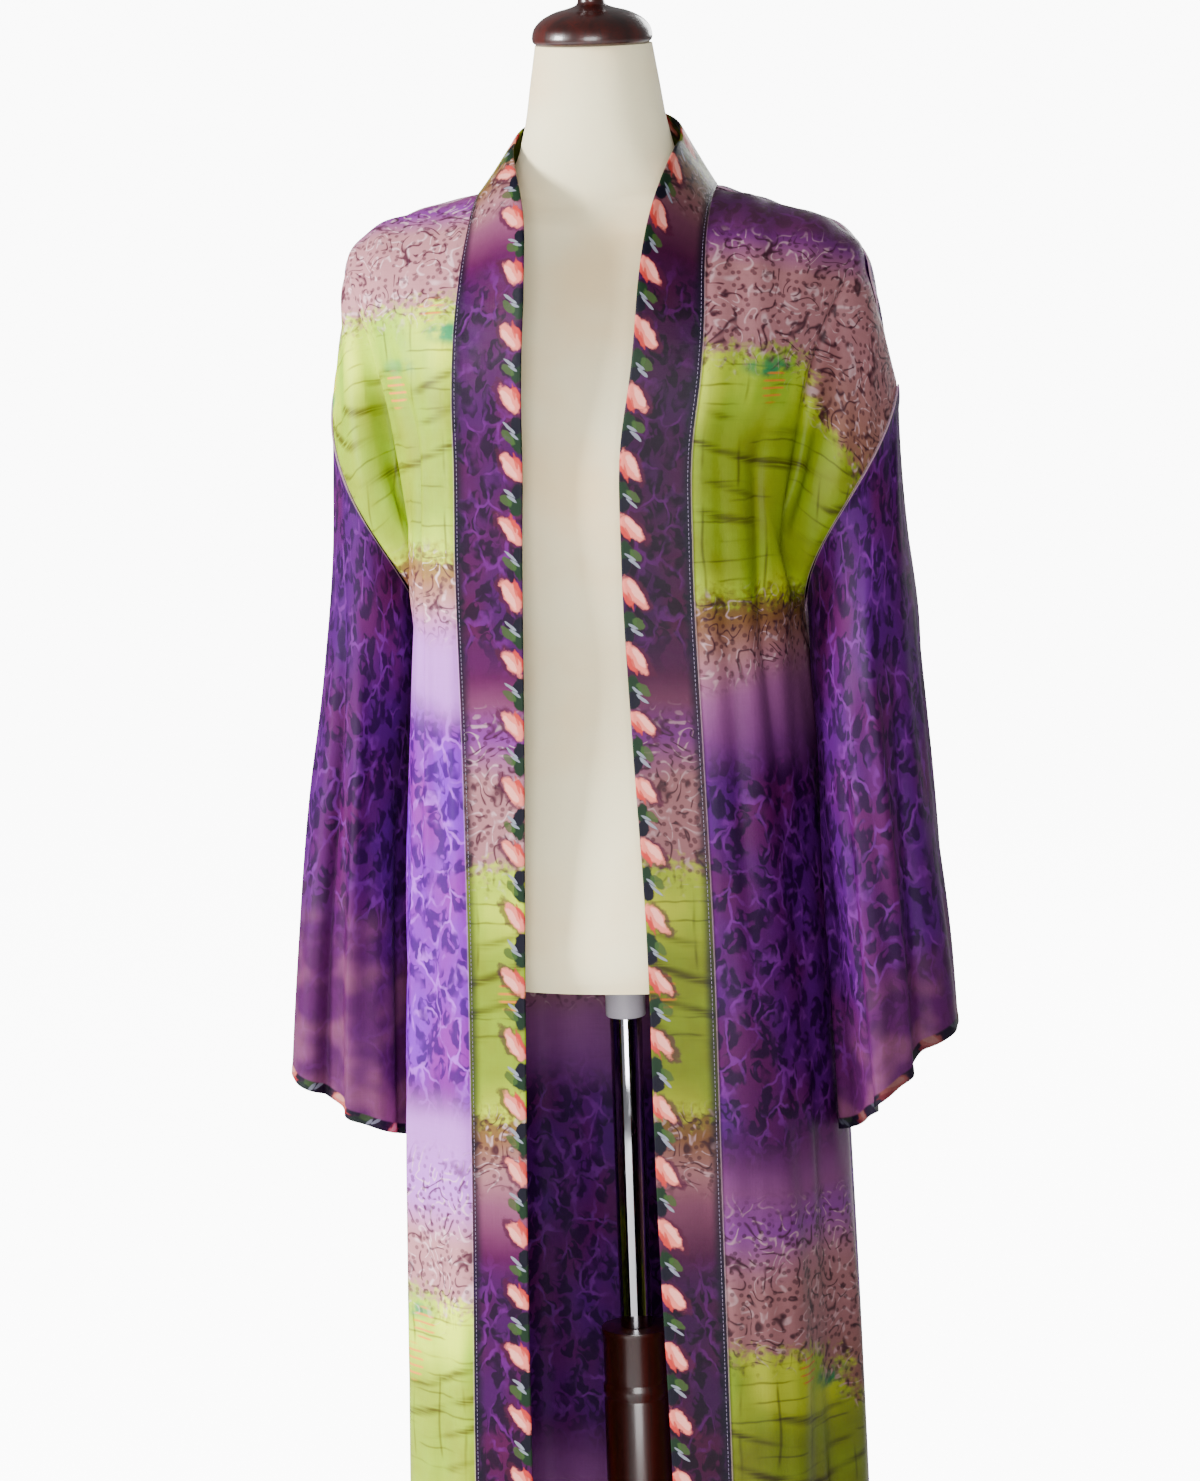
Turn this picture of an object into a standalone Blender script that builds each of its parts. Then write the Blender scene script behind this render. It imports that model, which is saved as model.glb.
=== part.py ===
"""Kimono coat on a limbless dress form with its stand.

Metres, +Z up. The coat's front faces -Y and the wearer's left side is +X. The origin is the centre of
the base's underside, on the axis of the pole. Each piece of cloth is a wall laid through a grid of points
that is worked out from the sizes below: rows run from the shoulder line down to the hem, columns run from
the band seam out to the armhole and the side seam.
"""

import math

import bmesh
import bpy
import numpy as np

# Cloth
CLOTH_THICKNESS = 0.0015
BAND_THICKNESS = 0.0022
SEAM_GAP = 0.0004
SMOOTH_SEAM_COSINE = 0.5

# Heights above the floor
HEM_Z = 0.100
UNDERARM_Z = 1.085
NECK_POINT_Z = 1.416
BACK_NECK_Z = 1.420

# Cut of the body
NECK_HALF_WIDTH = 0.092
NECK_POINT_Y = 0.005
BACK_NECK_Y = 0.074
SHOULDER_ROLL = 0.170
SHOULDER_FULLNESS = 1.15
SIDE_DRAW_IN = 0.180
FRONT_Y = -0.120
BACK_Y = 0.128
SIDE_Y = 0.005
ARMHOLE_FRONT_BULGE = 0.062
ARMHOLE_BACK_BULGE = 0.056
ARMHOLE_BULGE_START = 0.42

# Grid of the cloth: rows and columns shared by pieces that meet at a seam
ARMHOLE_ROWS = 12
SKIRT_ROWS = 16
SHOULDER_COLUMNS = 12
NECK_COLUMNS = 8
BAND_COLUMNS = 3
SLEEVE_ROWS = 18
ROW_CROWDING = 1.3

# The shoulder line from the neck point over the shoulder's end to the armhole: height and x on each side
SHOULDER_FIELDS = ("z", "left", "right")
SHOULDER_LINE = (
    (1.416, 0.092, 0.092),
    (1.402, 0.145, 0.145),
    (1.387, 0.185, 0.184),
    (1.371, 0.202, 0.198),
    (1.347, 0.210, 0.204),
    (1.318, 0.216, 0.207),
    (1.288, 0.222, 0.210),
    (1.262, 0.228, 0.215),
)

# Side seam below the armhole: height and x
SIDE_SEAM = (
    (1.085, 0.152),
    (1.020, 0.158),
    (0.900, 0.166),
    (0.776, 0.171),
    (0.670, 0.175),
    (0.530, 0.179),
    (0.380, 0.182),
    (0.100, 0.186),
)

# Band by height: x of its seam and of its free edge on the wearer's left and right, and how far the free
# edge lies in front of the seam and above it
BAND_FIELDS = ("z", "left_seam", "left_edge", "right_seam", "right_edge", "edge_forward", "edge_rise")
BAND_ROWS = (
    (0.100, 0.092, 0.048, 0.113, 0.066, 0.004, 0.000),
    (0.420, 0.092, 0.046, 0.111, 0.065, 0.004, 0.000),
    (0.640, 0.091, 0.041, 0.105, 0.061, 0.004, 0.000),
    (0.880, 0.090, 0.039, 0.100, 0.054, 0.004, 0.000),
    (1.000, 0.087, 0.034, 0.099, 0.050, 0.004, 0.000),
    (1.150, 0.084, 0.030, 0.099, 0.046, 0.004, 0.000),
    (1.228, 0.086, 0.032, 0.097, 0.043, 0.005, 0.001),
    (1.290, 0.095, 0.043, 0.098, 0.043, 0.008, 0.004),
    (1.345, 0.101, 0.053, 0.100, 0.046, 0.012, 0.012),
    (1.385, 0.100, 0.061, 0.100, 0.053, 0.012, 0.024),
    (1.416, 0.092, 0.066, 0.092, 0.063, 0.006, 0.038),
)
BACK_BAND_RISE = 0.056
BACK_BAND_FORWARD = 0.006
BACK_BAND_STEEPNESS = 0.7

# Sleeve by height: its inner and outer sides from the middle, and its depth in front of and behind them
SLEEVE_FIELDS = ("z", "left_inner", "left_outer", "right_inner", "right_outer", "front_depth", "back_depth")
SLEEVE_ROWS_BY_HEIGHT = (
    (0.640, 0.1805, 0.270, 0.1765, 0.281, 0.070, 0.074),
    (0.780, 0.1740, 0.263, 0.1725, 0.270, 0.074, 0.078),
    (0.940, 0.1680, 0.251, 0.1665, 0.251, 0.078, 0.082),
    (1.030, 0.1650, 0.245, 0.1640, 0.238, 0.080, 0.085),
    (1.130, 0.1640, 0.239, 0.1640, 0.226, 0.082, 0.088),
    (1.262, 0.170, 0.230, 0.166, 0.216, 0.078, 0.084),
)
SLEEVE_HEM = {"left": (0.766, 0.684), "right": (0.722, 0.660)}
SLEEVE_SETTLE = 0.36
SLEEVE_SET_BACK = {"left": -0.030, "right": 0.038}
UNDERARM_CLEARANCE = 0.0034
UNDERARM_FOCUS = 4

# Folds: the piece, its place across the piece, its drift there down to the hem, its depth outward and
# half width in metres, and the heights where it starts and where it is full
FOLD_FREE_BORDER = 0.12
FOLD_FIELDS = ("piece", "place", "drift", "depth", "half_width", "start_z", "full_z")
FOLDS = (
    ("front_left", 0.36, 0.02, 0.006, 0.020, 1.10, 0.40),
    ("front_left", 0.62, 0.03, -0.007, 0.018, 1.02, 0.42),
    ("front_left", 0.84, 0.00, 0.007, 0.018, 0.86, 0.40),
    ("front_right", 0.28, 0.02, -0.005, 0.018, 1.16, 0.50),
    ("front_right", 0.52, 0.03, 0.007, 0.018, 1.12, 0.44),
    ("front_right", 0.78, 0.00, -0.006, 0.017, 0.80, 0.40),
    ("back", 0.13, 0.01, 0.009, 0.022, 0.92, 0.36),
    ("back", 0.24, 0.00, -0.010, 0.022, 1.10, 0.40),
    ("back", 0.35, -0.01, 0.012, 0.024, 1.22, 0.40),
    ("back", 0.45, 0.00, -0.011, 0.024, 1.16, 0.36),
    ("back", 0.55, 0.01, 0.010, 0.024, 1.24, 0.44),
    ("back", 0.66, 0.01, -0.012, 0.023, 1.14, 0.38),
    ("back", 0.77, 0.01, 0.011, 0.022, 1.06, 0.36),
    ("back", 0.88, 0.00, -0.008, 0.020, 0.88, 0.36),
)

# The fold that runs from the end of the shoulder down to the underarm: height and place across the front
ARM_FOLD_PATH = ((1.375, 0.50), (1.320, 0.56), (1.250, 0.64), (1.180, 0.76), (1.120, 0.89), (1.085, 0.99))
ARM_FOLD_DEPTH = 0.018
ARM_FOLD_HALF_WIDTH = 0.024
ARM_FOLD_FADE = 0.080

# Folds down each sleeve: place around it (0 outside, 0.25 in front, 0.5 inside, 0.75 behind), depth,
# half width around it and the share of the sleeve's length where it starts
SLEEVE_FOLD_FIELDS = ("side", "place", "depth", "half_width", "start")
SLEEVE_FOLDS = (
    ("left", 0.06, -0.006, 0.045, 0.40),
    ("left", 0.16, 0.009, 0.050, 0.20),
    ("left", 0.27, -0.010, 0.045, 0.25),
    ("left", 0.37, 0.006, 0.050, 0.40),
    ("left", 0.68, 0.008, 0.050, 0.30),
    ("left", 0.82, -0.009, 0.055, 0.25),
    ("right", 0.05, 0.007, 0.045, 0.35),
    ("right", 0.14, -0.009, 0.045, 0.30),
    ("right", 0.24, 0.010, 0.050, 0.25),
    ("right", 0.34, -0.009, 0.045, 0.35),
    ("right", 0.68, 0.008, 0.055, 0.30),
    ("right", 0.83, -0.009, 0.055, 0.30),
)

# Dress form by height: half width, depth forward, depth back, and how round its section is
FORM_FIELDS = ("z", "half_width", "front", "back", "roundness")
FORM_SECTIONS = (
    (0.802, 0.1350, 0.1000, 0.1000, 2.2),
    (0.812, 0.1400, 0.1040, 0.1040, 2.2),
    (0.880, 0.1450, 0.1050, 0.1080, 2.2),
    (0.960, 0.1300, 0.0960, 0.0960, 2.1),
    (1.050, 0.1160, 0.0880, 0.0820, 2.0),
    (1.130, 0.1260, 0.0960, 0.0860, 2.0),
    (1.200, 0.1390, 0.1020, 0.0920, 1.9),
    (1.270, 0.1500, 0.0900, 0.0900, 1.8),
    (1.320, 0.1680, 0.0740, 0.0800, 1.6),
    (1.355, 0.1790, 0.0580, 0.0660, 1.4),
    (1.372, 0.1790, 0.0500, 0.0580, 1.35),
    (1.384, 0.1750, 0.0460, 0.0550, 1.35),
    (1.3925, 0.1650, 0.0450, 0.0540, 1.4),
    (1.4012, 0.1430, 0.0420, 0.0440, 1.30),
    (1.4060, 0.1180, 0.0400, 0.0420, 1.30),
    (1.4110, 0.0920, 0.0400, 0.0420, 1.40),
    (1.4210, 0.0760, 0.0420, 0.0460, 1.75),
    (1.436, 0.0650, 0.0450, 0.0510, 2.0),
    (1.460, 0.0570, 0.0460, 0.0500, 2.0),
    (1.500, 0.0500, 0.0440, 0.0470, 2.0),
    (1.528, 0.0455, 0.0410, 0.0440, 2.0),
)
FORM_SEGMENTS = 36

# Stand, profiles from the axis outward and upward: radius and height
CAP_BASE_Z = 1.5283
CAP_PROFILE = (
    (0.0430, 0.000),
    (0.0460, 0.003),
    (0.0462, 0.008),
    (0.0440, 0.014),
    (0.0380, 0.020),
    (0.0280, 0.025),
    (0.0170, 0.028),
    (0.0110, 0.031),
    (0.0105, 0.037),
    (0.0135, 0.042),
    (0.0150, 0.048),
    (0.0135, 0.055),
    (0.0080, 0.060),
)
COLLAR_PROFILE = ((0.0152, 0.7640), (0.0158, 0.7650), (0.0158, 0.8007), (0.0152, 0.8017))
POLE_RADIUS = 0.0128
POLE_BOTTOM_Z = 0.5103
POLE_TOP_Z = 0.7637
COLUMN_PROFILE = (
    (0.0240, 0.0323),
    (0.0400, 0.0323),
    (0.0400, 0.0420),
    (0.0330, 0.0560),
    (0.0285, 0.0900),
    (0.0275, 0.1500),
    (0.0275, 0.4500),
    (0.0262, 0.4530),
    (0.0280, 0.4570),
    (0.0280, 0.4620),
    (0.0262, 0.4660),
    (0.0270, 0.4700),
    (0.0270, 0.5040),
    (0.0280, 0.5060),
    (0.0280, 0.5100),
)
BASE_PROFILE = (
    (0.1700, 0.0000),
    (0.1760, 0.0030),
    (0.1770, 0.0120),
    (0.1740, 0.0200),
    (0.1640, 0.0250),
    (0.1000, 0.0280),
    (0.0500, 0.0320),
)
TURNED_SEGMENTS = 32
SMOOTH_ANGLE = math.radians(40.0)


def smooth_step(share):
    """Ease from 0 to 1."""
    share = np.clip(share, 0.0, 1.0)
    return share * share * (3.0 - 2.0 * share)


def smooth_curve(keys, values, at):
    """Value of the smooth curve through the given points, whose keys rise."""
    keys = np.asarray(keys, dtype=float)
    values = np.asarray(values, dtype=float)
    at = np.clip(np.asarray(at, dtype=float), keys[0], keys[-1])
    slopes = np.gradient(values, keys)
    cell = np.clip(np.searchsorted(keys, at, side="right") - 1, 0, len(keys) - 2)
    width = keys[cell + 1] - keys[cell]
    t = (at - keys[cell]) / width
    start = values[cell] * (2 * t**3 - 3 * t**2 + 1) + slopes[cell] * width * (t**3 - 2 * t**2 + t)
    end = values[cell + 1] * (3 * t**2 - 2 * t**3) + slopes[cell + 1] * width * (t**3 - t**2)
    return start + end


def table_value(fields, rows, name, at, key="z"):
    """Value of one named column of a table at a place between its rows."""
    ordered = sorted(rows, key=lambda row: row[fields.index(key)])
    keys = [row[fields.index(key)] for row in ordered]
    values = [row[fields.index(name)] for row in ordered]
    return smooth_curve(keys, values, at)


def shoulder_point(side, across):
    """x and height of a side's shoulder line at a share of its length from the neck point."""
    points = np.array(SHOULDER_LINE)
    heights = points[:, 0]
    lengths = np.concatenate(([0.0], np.cumsum(np.hypot(np.diff(points[:, 1]), np.diff(heights)))))
    lengths = lengths / lengths[-1]
    outward = points[:, SHOULDER_FIELDS.index(side)]
    return smooth_curve(lengths, outward, across), smooth_curve(lengths, heights, across)


def side_x(z):
    """x of the side seam at a height; above the underarm it keeps its highest value."""
    ordered = sorted(SIDE_SEAM)
    return smooth_curve([row[0] for row in ordered], [row[1] for row in ordered], z)


def row_heights(top_z):
    """Heights of the rows of one column, from the shoulder line to the hem."""
    upper = (np.arange(ARMHOLE_ROWS + 1) / ARMHOLE_ROWS) ** ROW_CROWDING
    lower = np.arange(1, SKIRT_ROWS + 1) / SKIRT_ROWS
    upper_z = top_z + (UNDERARM_Z - top_z) * upper
    lower_z = UNDERARM_Z + (HEM_Z - UNDERARM_Z) * lower
    return np.concatenate((upper_z, lower_z))


def roll_over_shoulder(drop):
    """Share of its full depth that the cloth has reached at a drop below the shoulder line."""
    share = np.clip(drop / SHOULDER_ROLL, 0.0, 1.0)
    return np.sqrt(1.0 - (1.0 - share) ** 2) ** SHOULDER_FULLNESS


def armhole_bulge(across, drop, top_z, depth):
    """Depth that the cloth swings out by where it turns over into the sleeve."""
    reach = smooth_step((across - ARMHOLE_BULGE_START) / (1.0 - ARMHOLE_BULGE_START))
    swing = np.sin(np.pi * np.clip(drop / (top_z - UNDERARM_Z), 0.0, 1.0))
    return depth * reach * swing


def front_column(side, across):
    """Points down one column of a front, at a share of the way from band seam to side seam."""
    top_x, top_z = shoulder_point(side, across)
    z = row_heights(top_z)
    drop = top_z - z
    seam_x = table_value(BAND_FIELDS, BAND_ROWS, side + "_seam", z)
    turn = 0.5 * math.pi * across
    hang_x = seam_x + (side_x(z) - seam_x) * math.sin(turn)
    hang_y = SIDE_Y + (FRONT_Y - SIDE_Y) * math.cos(turn)
    x = top_x + (hang_x - top_x) * smooth_step(drop / SIDE_DRAW_IN)
    y = NECK_POINT_Y + (hang_y - NECK_POINT_Y) * roll_over_shoulder(drop)
    y = y - armhole_bulge(across, drop, top_z, ARMHOLE_FRONT_BULGE)
    return np.stack((x, y, z), axis=-1)


def back_column(side, across):
    """Points down one column of the back, at a share of the way from centre back to side seam."""
    turn = 0.5 * math.pi * across
    neck_share = NECK_HALF_WIDTH / (NECK_HALF_WIDTH + shoulder_length())
    if across < neck_share:
        neck_turn = 0.5 * math.pi * across / neck_share
        top_x = NECK_HALF_WIDTH * math.sin(neck_turn)
        top_y = NECK_POINT_Y + (BACK_NECK_Y - NECK_POINT_Y) * math.cos(neck_turn)
        top_z = NECK_POINT_Z + (BACK_NECK_Z - NECK_POINT_Z) * math.cos(neck_turn)
        outward = 0.0
    else:
        outward = (across - neck_share) / (1.0 - neck_share)
        top_x, top_z = shoulder_point(side, outward)
        top_y = NECK_POINT_Y
    z = row_heights(top_z)
    drop = top_z - z
    hang_x = side_x(z) * math.sin(turn)
    hang_y = SIDE_Y + (BACK_Y - SIDE_Y) * math.cos(turn)
    x = top_x + (hang_x - top_x) * smooth_step(drop / SIDE_DRAW_IN)
    y = top_y + (hang_y - top_y) * roll_over_shoulder(drop)
    y = y + armhole_bulge(outward, drop, top_z, ARMHOLE_BACK_BULGE)
    return np.stack((x, y, z), axis=-1)


def shoulder_length():
    """Length of the shoulder line from the neck point to the armhole."""
    points = np.array(SHOULDER_LINE)
    return float(np.hypot(np.diff(points[:, 0]), np.diff(points[:, 1])).sum())


def mirror_x(points):
    """The same points on the other side of the middle."""
    return points * np.array((-1.0, 1.0, 1.0))


def front_grid(side):
    """Grid of a front: columns from the band seam to the side seam, rows down to the hem."""
    shares = np.arange(SHOULDER_COLUMNS + 1) / SHOULDER_COLUMNS
    grid = np.array([front_column(side, share) for share in shares])
    return grid if side == "left" else mirror_x(grid)


def back_grid():
    """Grid of the back: columns from the wearer's right side seam round to the left one."""
    neck_share = NECK_HALF_WIDTH / (NECK_HALF_WIDTH + shoulder_length())
    half_neck = NECK_COLUMNS // 2
    inner = neck_share * np.arange(half_neck) / half_neck
    outer = neck_share + (1.0 - neck_share) * np.arange(SHOULDER_COLUMNS + 1) / SHOULDER_COLUMNS
    shares = np.concatenate((inner, outer))
    left = [back_column("left", share) for share in shares]
    right = [mirror_x(back_column("right", share)) for share in shares[:0:-1]]
    return np.array(right + left)


def neck_column_range():
    """First and last column of the back that end at the neck."""
    return SHOULDER_COLUMNS, SHOULDER_COLUMNS + NECK_COLUMNS


def band_edge(side, seam):
    """Free edge of the band beside its seam down a front, which is given on the wearer's left."""
    z = seam[:, 2]
    shift = table_value(BAND_FIELDS, BAND_ROWS, side + "_edge", z)
    shift = shift - table_value(BAND_FIELDS, BAND_ROWS, side + "_seam", z)
    edge = seam.copy()
    edge[:, 0] += shift
    edge[:, 1] -= table_value(BAND_FIELDS, BAND_ROWS, "edge_forward", z)
    edge[:, 2] += table_value(BAND_FIELDS, BAND_ROWS, "edge_rise", z)
    return edge


def band_grid(fronts, back):
    """Grid of the band: across it from seam to free edge, along it from hem to hem round the neck."""
    left_seam = fronts["left"][0]
    right_seam = mirror_x(fronts["right"][0])
    left_edge = band_edge("left", left_seam)
    right_edge = mirror_x(band_edge("right", right_seam))
    first, last = neck_column_range()
    neck_seam = back[first:last + 1, 0]
    turn = np.linspace(-0.5 * math.pi, 0.5 * math.pi, NECK_COLUMNS + 1)
    rise = np.cos(turn) ** BACK_BAND_STEEPNESS
    neck_edge = neck_seam.copy()
    start, end = right_edge[0], left_edge[0]
    middle = np.array((0.0, BACK_NECK_Y - BACK_BAND_FORWARD, BACK_NECK_Z + BACK_BAND_RISE))
    half_width = np.where(turn < 0.0, -start[0], end[0])
    side_y = np.where(turn < 0.0, start[1], end[1])
    neck_edge[:, 0] = np.sin(turn) * half_width
    neck_edge[:, 1] = side_y + (middle[1] - side_y) * np.cos(turn)
    neck_edge[:, 2] = start[2] + (middle[2] - start[2]) * rise
    seam = np.concatenate((fronts["right"][0][::-1], neck_seam[1:-1], left_seam))
    edge = np.concatenate((right_edge[::-1], neck_edge[1:-1], left_edge))
    shares = np.arange(BAND_COLUMNS + 1) / BAND_COLUMNS
    return np.array([seam + (edge - seam) * share for share in shares])


def sleeve_grid(side, front, back_side):
    """Grid of a sleeve: around it from the outer fold by the front, and from armhole to hem."""
    front_edge = front[-1][:ARMHOLE_ROWS + 1]
    back_edge = back_side[:ARMHOLE_ROWS + 1]
    armhole = np.concatenate((front_edge, back_edge[::-1][1:-1]))
    count = len(armhole)
    around = np.arange(count) / count
    turn = 2.0 * math.pi * around
    inside = 0.5 - 0.5 * np.cos(turn)
    hem_outer, hem_inner = SLEEVE_HEM[side]
    hem_z = hem_outer + (hem_inner - hem_outer) * inside
    armhole = armhole.copy()
    armhole[:, 0] += UNDERARM_CLEARANCE * inside**UNDERARM_FOCUS
    rows = []
    for step in range(SLEEVE_ROWS + 1):
        share = step / SLEEVE_ROWS
        z = armhole[:, 2] + (hem_z - armhole[:, 2]) * share
        inner = table_value(SLEEVE_FIELDS, SLEEVE_ROWS_BY_HEIGHT, side + "_inner", z)
        outer = table_value(SLEEVE_FIELDS, SLEEVE_ROWS_BY_HEIGHT, side + "_outer", z)
        front_depth = table_value(SLEEVE_FIELDS, SLEEVE_ROWS_BY_HEIGHT, "front_depth", z)
        back_depth = table_value(SLEEVE_FIELDS, SLEEVE_ROWS_BY_HEIGHT, "back_depth", z)
        depth = np.where(np.sin(turn) > 0.0, front_depth, back_depth)
        hang_x = 0.5 * (inner + outer) + 0.5 * (outer - inner) * np.cos(turn)
        hang_y = SIDE_Y + SLEEVE_SET_BACK[side] - depth * np.sin(turn)
        settled = smooth_step(share / SLEEVE_SETTLE)
        x = armhole[:, 0] + (hang_x - armhole[:, 0]) * settled
        y = armhole[:, 1] + (hang_y - armhole[:, 1]) * settled
        rows.append(np.stack((x, y, z), axis=-1))
    return np.array(rows).transpose(1, 0, 2)


def grid_normals(grid, closed=False):
    """Unit normals of a grid, facing away from the object's inside once turned by the caller."""
    if closed:
        across = np.roll(grid, -1, axis=0) - np.roll(grid, 1, axis=0)
    else:
        across = np.gradient(grid, axis=0)
    down = np.gradient(grid, axis=1)
    return unit(np.cross(across, down))


def fold_depth(piece, grid, width):
    """How far each point of a panel is moved outward by its folds."""
    places = np.linspace(0.0, 1.0, len(grid))[:, None]
    heights = grid[:, :, 2]
    depth = np.zeros(heights.shape)
    for row in FOLDS:
        fold = dict(zip(FOLD_FIELDS, row))
        if fold["piece"] != piece:
            continue
        grown = smooth_step((fold["start_z"] - heights) / (fold["start_z"] - fold["full_z"]))
        place = fold["place"] + fold["drift"] * grown
        away = (places - place) * width / fold["half_width"]
        depth += fold["depth"] * grown * np.exp(-away**2)
    return depth


def arm_fold_depth(grid, width):
    """Depth of the inward fold between the chest and the sleeve."""
    places = np.linspace(0.0, 1.0, len(grid))[:, None]
    heights = grid[:, :, 2]
    ordered = sorted(ARM_FOLD_PATH)
    path = smooth_curve([row[0] for row in ordered], [row[1] for row in ordered], heights)
    shown = smooth_step((ARM_FOLD_PATH[0][0] - heights) / ARM_FOLD_FADE)
    shown = shown * smooth_step((heights - UNDERARM_Z) / ARM_FOLD_FADE)
    away = (places - path) * width / ARM_FOLD_HALF_WIDTH
    return -ARM_FOLD_DEPTH * shown * np.exp(-away**2)


def sleeve_fold_depth(side, grid):
    """How far each point of a sleeve is moved outward by its folds."""
    count, rows = grid.shape[:2]
    around = (np.arange(count) / count)[:, None]
    down = (np.arange(rows) / (rows - 1))[None, :]
    depth = np.zeros((count, rows))
    for row in SLEEVE_FOLDS:
        fold = dict(zip(SLEEVE_FOLD_FIELDS, row))
        if fold["side"] != side:
            continue
        away = np.abs(around - fold["place"])
        away = np.minimum(away, 1.0 - away) / fold["half_width"]
        grown = smooth_step((down - fold["start"]) / (1.0 - fold["start"]))
        depth += fold["depth"] * grown * np.exp(-away**2)
    return depth


def shared_normals(grids, normals):
    """Give points that two pieces share the mean of their normals, where the cloth runs on smoothly."""
    places = {}
    for name, grid in grids.items():
        for index in np.ndindex(grid.shape[:2]):
            places.setdefault(tuple(np.round(grid[index], 5)), []).append((name, index))
    for users in places.values():
        if len(users) < 2:
            continue
        mean = sum(normals[name][index] for name, index in users)
        mean = unit(mean)
        for name, index in users:
            if np.dot(mean, normals[name][index]) > SMOOTH_SEAM_COSINE:
                normals[name][index] = mean


def unit(vectors):
    """Vectors brought to length one."""
    return vectors / np.maximum(np.linalg.norm(vectors, axis=-1, keepdims=True), 1e-9)


def draw_in(grid, closed):
    """Draw the borders of a grid in by half the seam gap, square to each border."""
    result = grid.copy()
    every = slice(None)
    borders = [((every, 0), (every, 1)), ((every, -1), (every, -2))]
    if not closed:
        borders += [((0, every), (1, every)), ((-1, every), (-2, every))]
    for border, beside in borders:
        along = unit(np.gradient(grid[border], axis=0))
        inward = grid[beside] - grid[border]
        inward = inward - along * np.sum(inward * along, axis=-1, keepdims=True)
        result[border] += 0.5 * SEAM_GAP * unit(inward)
    return result


def wall_mesh(name, grid, normals, thickness, closed=False):
    """Closed wall laid through a grid: an outer and an inner layer joined round the borders."""
    columns, rows = grid.shape[:2]
    mesh = bmesh.new()
    outer = {}
    inner = {}
    for index in np.ndindex(columns, rows):
        outer[index] = mesh.verts.new(grid[index] + 0.5 * thickness * normals[index])
        inner[index] = mesh.verts.new(grid[index] - 0.5 * thickness * normals[index])
    last = columns if closed else columns - 1
    for i in range(last):
        j = (i + 1) % columns
        for row in range(rows - 1):
            mesh.faces.new((outer[i, row], outer[j, row], outer[j, row + 1], outer[i, row + 1]))
            mesh.faces.new((inner[i, row], inner[i, row + 1], inner[j, row + 1], inner[j, row]))
        mesh.faces.new((outer[j, 0], outer[i, 0], inner[i, 0], inner[j, 0]))
        mesh.faces.new((outer[i, rows - 1], outer[j, rows - 1], inner[j, rows - 1], inner[i, rows - 1]))
    if not closed:
        for row in range(rows - 1):
            end = columns - 1
            mesh.faces.new((outer[0, row], outer[0, row + 1], inner[0, row + 1], inner[0, row]))
            mesh.faces.new((outer[end, row + 1], outer[end, row], inner[end, row], inner[end, row + 1]))
    bmesh.ops.triangulate(mesh, faces=mesh.faces)
    bmesh.ops.recalc_face_normals(mesh, faces=mesh.faces)
    return finish_mesh(name, mesh)


def finish_mesh(name, mesh):
    """Turn a bmesh into a named object that is shaded smooth."""
    data = bpy.data.meshes.new(name)
    mesh.to_mesh(data)
    mesh.free()
    data.shade_smooth()
    data.set_sharp_from_angle(angle=SMOOTH_ANGLE)
    piece = bpy.data.objects.new(name, data)
    bpy.context.collection.objects.link(piece)
    return piece


def turned_mesh(name, profile, base_z=0.0):
    """Solid turned about the pole's axis, closed with flat ends."""
    mesh = bmesh.new()
    turns = 2.0 * math.pi * np.arange(TURNED_SEGMENTS) / TURNED_SEGMENTS
    rings = []
    for radius, height in profile:
        rings.append([
            mesh.verts.new((radius * math.cos(turn), radius * math.sin(turn), base_z + height))
            for turn in turns
        ])
    loft_rings(mesh, rings)
    return finish_mesh(name, mesh)


def loft_rings(mesh, rings):
    """Join rings one above the other and close the lowest and the highest with flat faces."""
    count = len(rings[0])
    for lower, upper in zip(rings, rings[1:]):
        for i in range(count):
            j = (i + 1) % count
            mesh.faces.new((lower[i], lower[j], upper[j], upper[i]))
    mesh.faces.new(list(reversed(rings[0])))
    mesh.faces.new(rings[-1])
    bmesh.ops.recalc_face_normals(mesh, faces=mesh.faces)


def form_mesh(name):
    """Torso and neck of the dress form, through level sections."""
    mesh = bmesh.new()
    turns = 2.0 * math.pi * np.arange(FORM_SEGMENTS) / FORM_SEGMENTS
    rings = []
    for row in FORM_SECTIONS:
        section = dict(zip(FORM_FIELDS, row))
        power = 2.0 / section["roundness"]
        ring = []
        for turn in turns:
            cosine, sine = math.cos(turn), math.sin(turn)
            depth = section["back"] if sine > 0.0 else section["front"]
            x = section["half_width"] * math.copysign(abs(cosine) ** power, cosine)
            y = NECK_POINT_Y + depth * math.copysign(abs(sine) ** power, sine)
            ring.append(mesh.verts.new((x, y, section["z"])))
        rings.append(ring)
    loft_rings(mesh, rings)
    return finish_mesh(name, mesh)


def material(name, colour, roughness, metallic=0.0):
    """Plain finish of one piece."""
    finish = bpy.data.materials.new(name)
    finish.use_nodes = True
    shader = finish.node_tree.nodes["Principled BSDF"]
    shader.inputs["Base Color"].default_value = (*colour, 1.0)
    shader.inputs["Roughness"].default_value = roughness
    shader.inputs["Metallic"].default_value = metallic
    return finish


def dress(piece, finish):
    """Give a piece its own finish."""
    piece.data.materials.append(finish)


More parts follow.
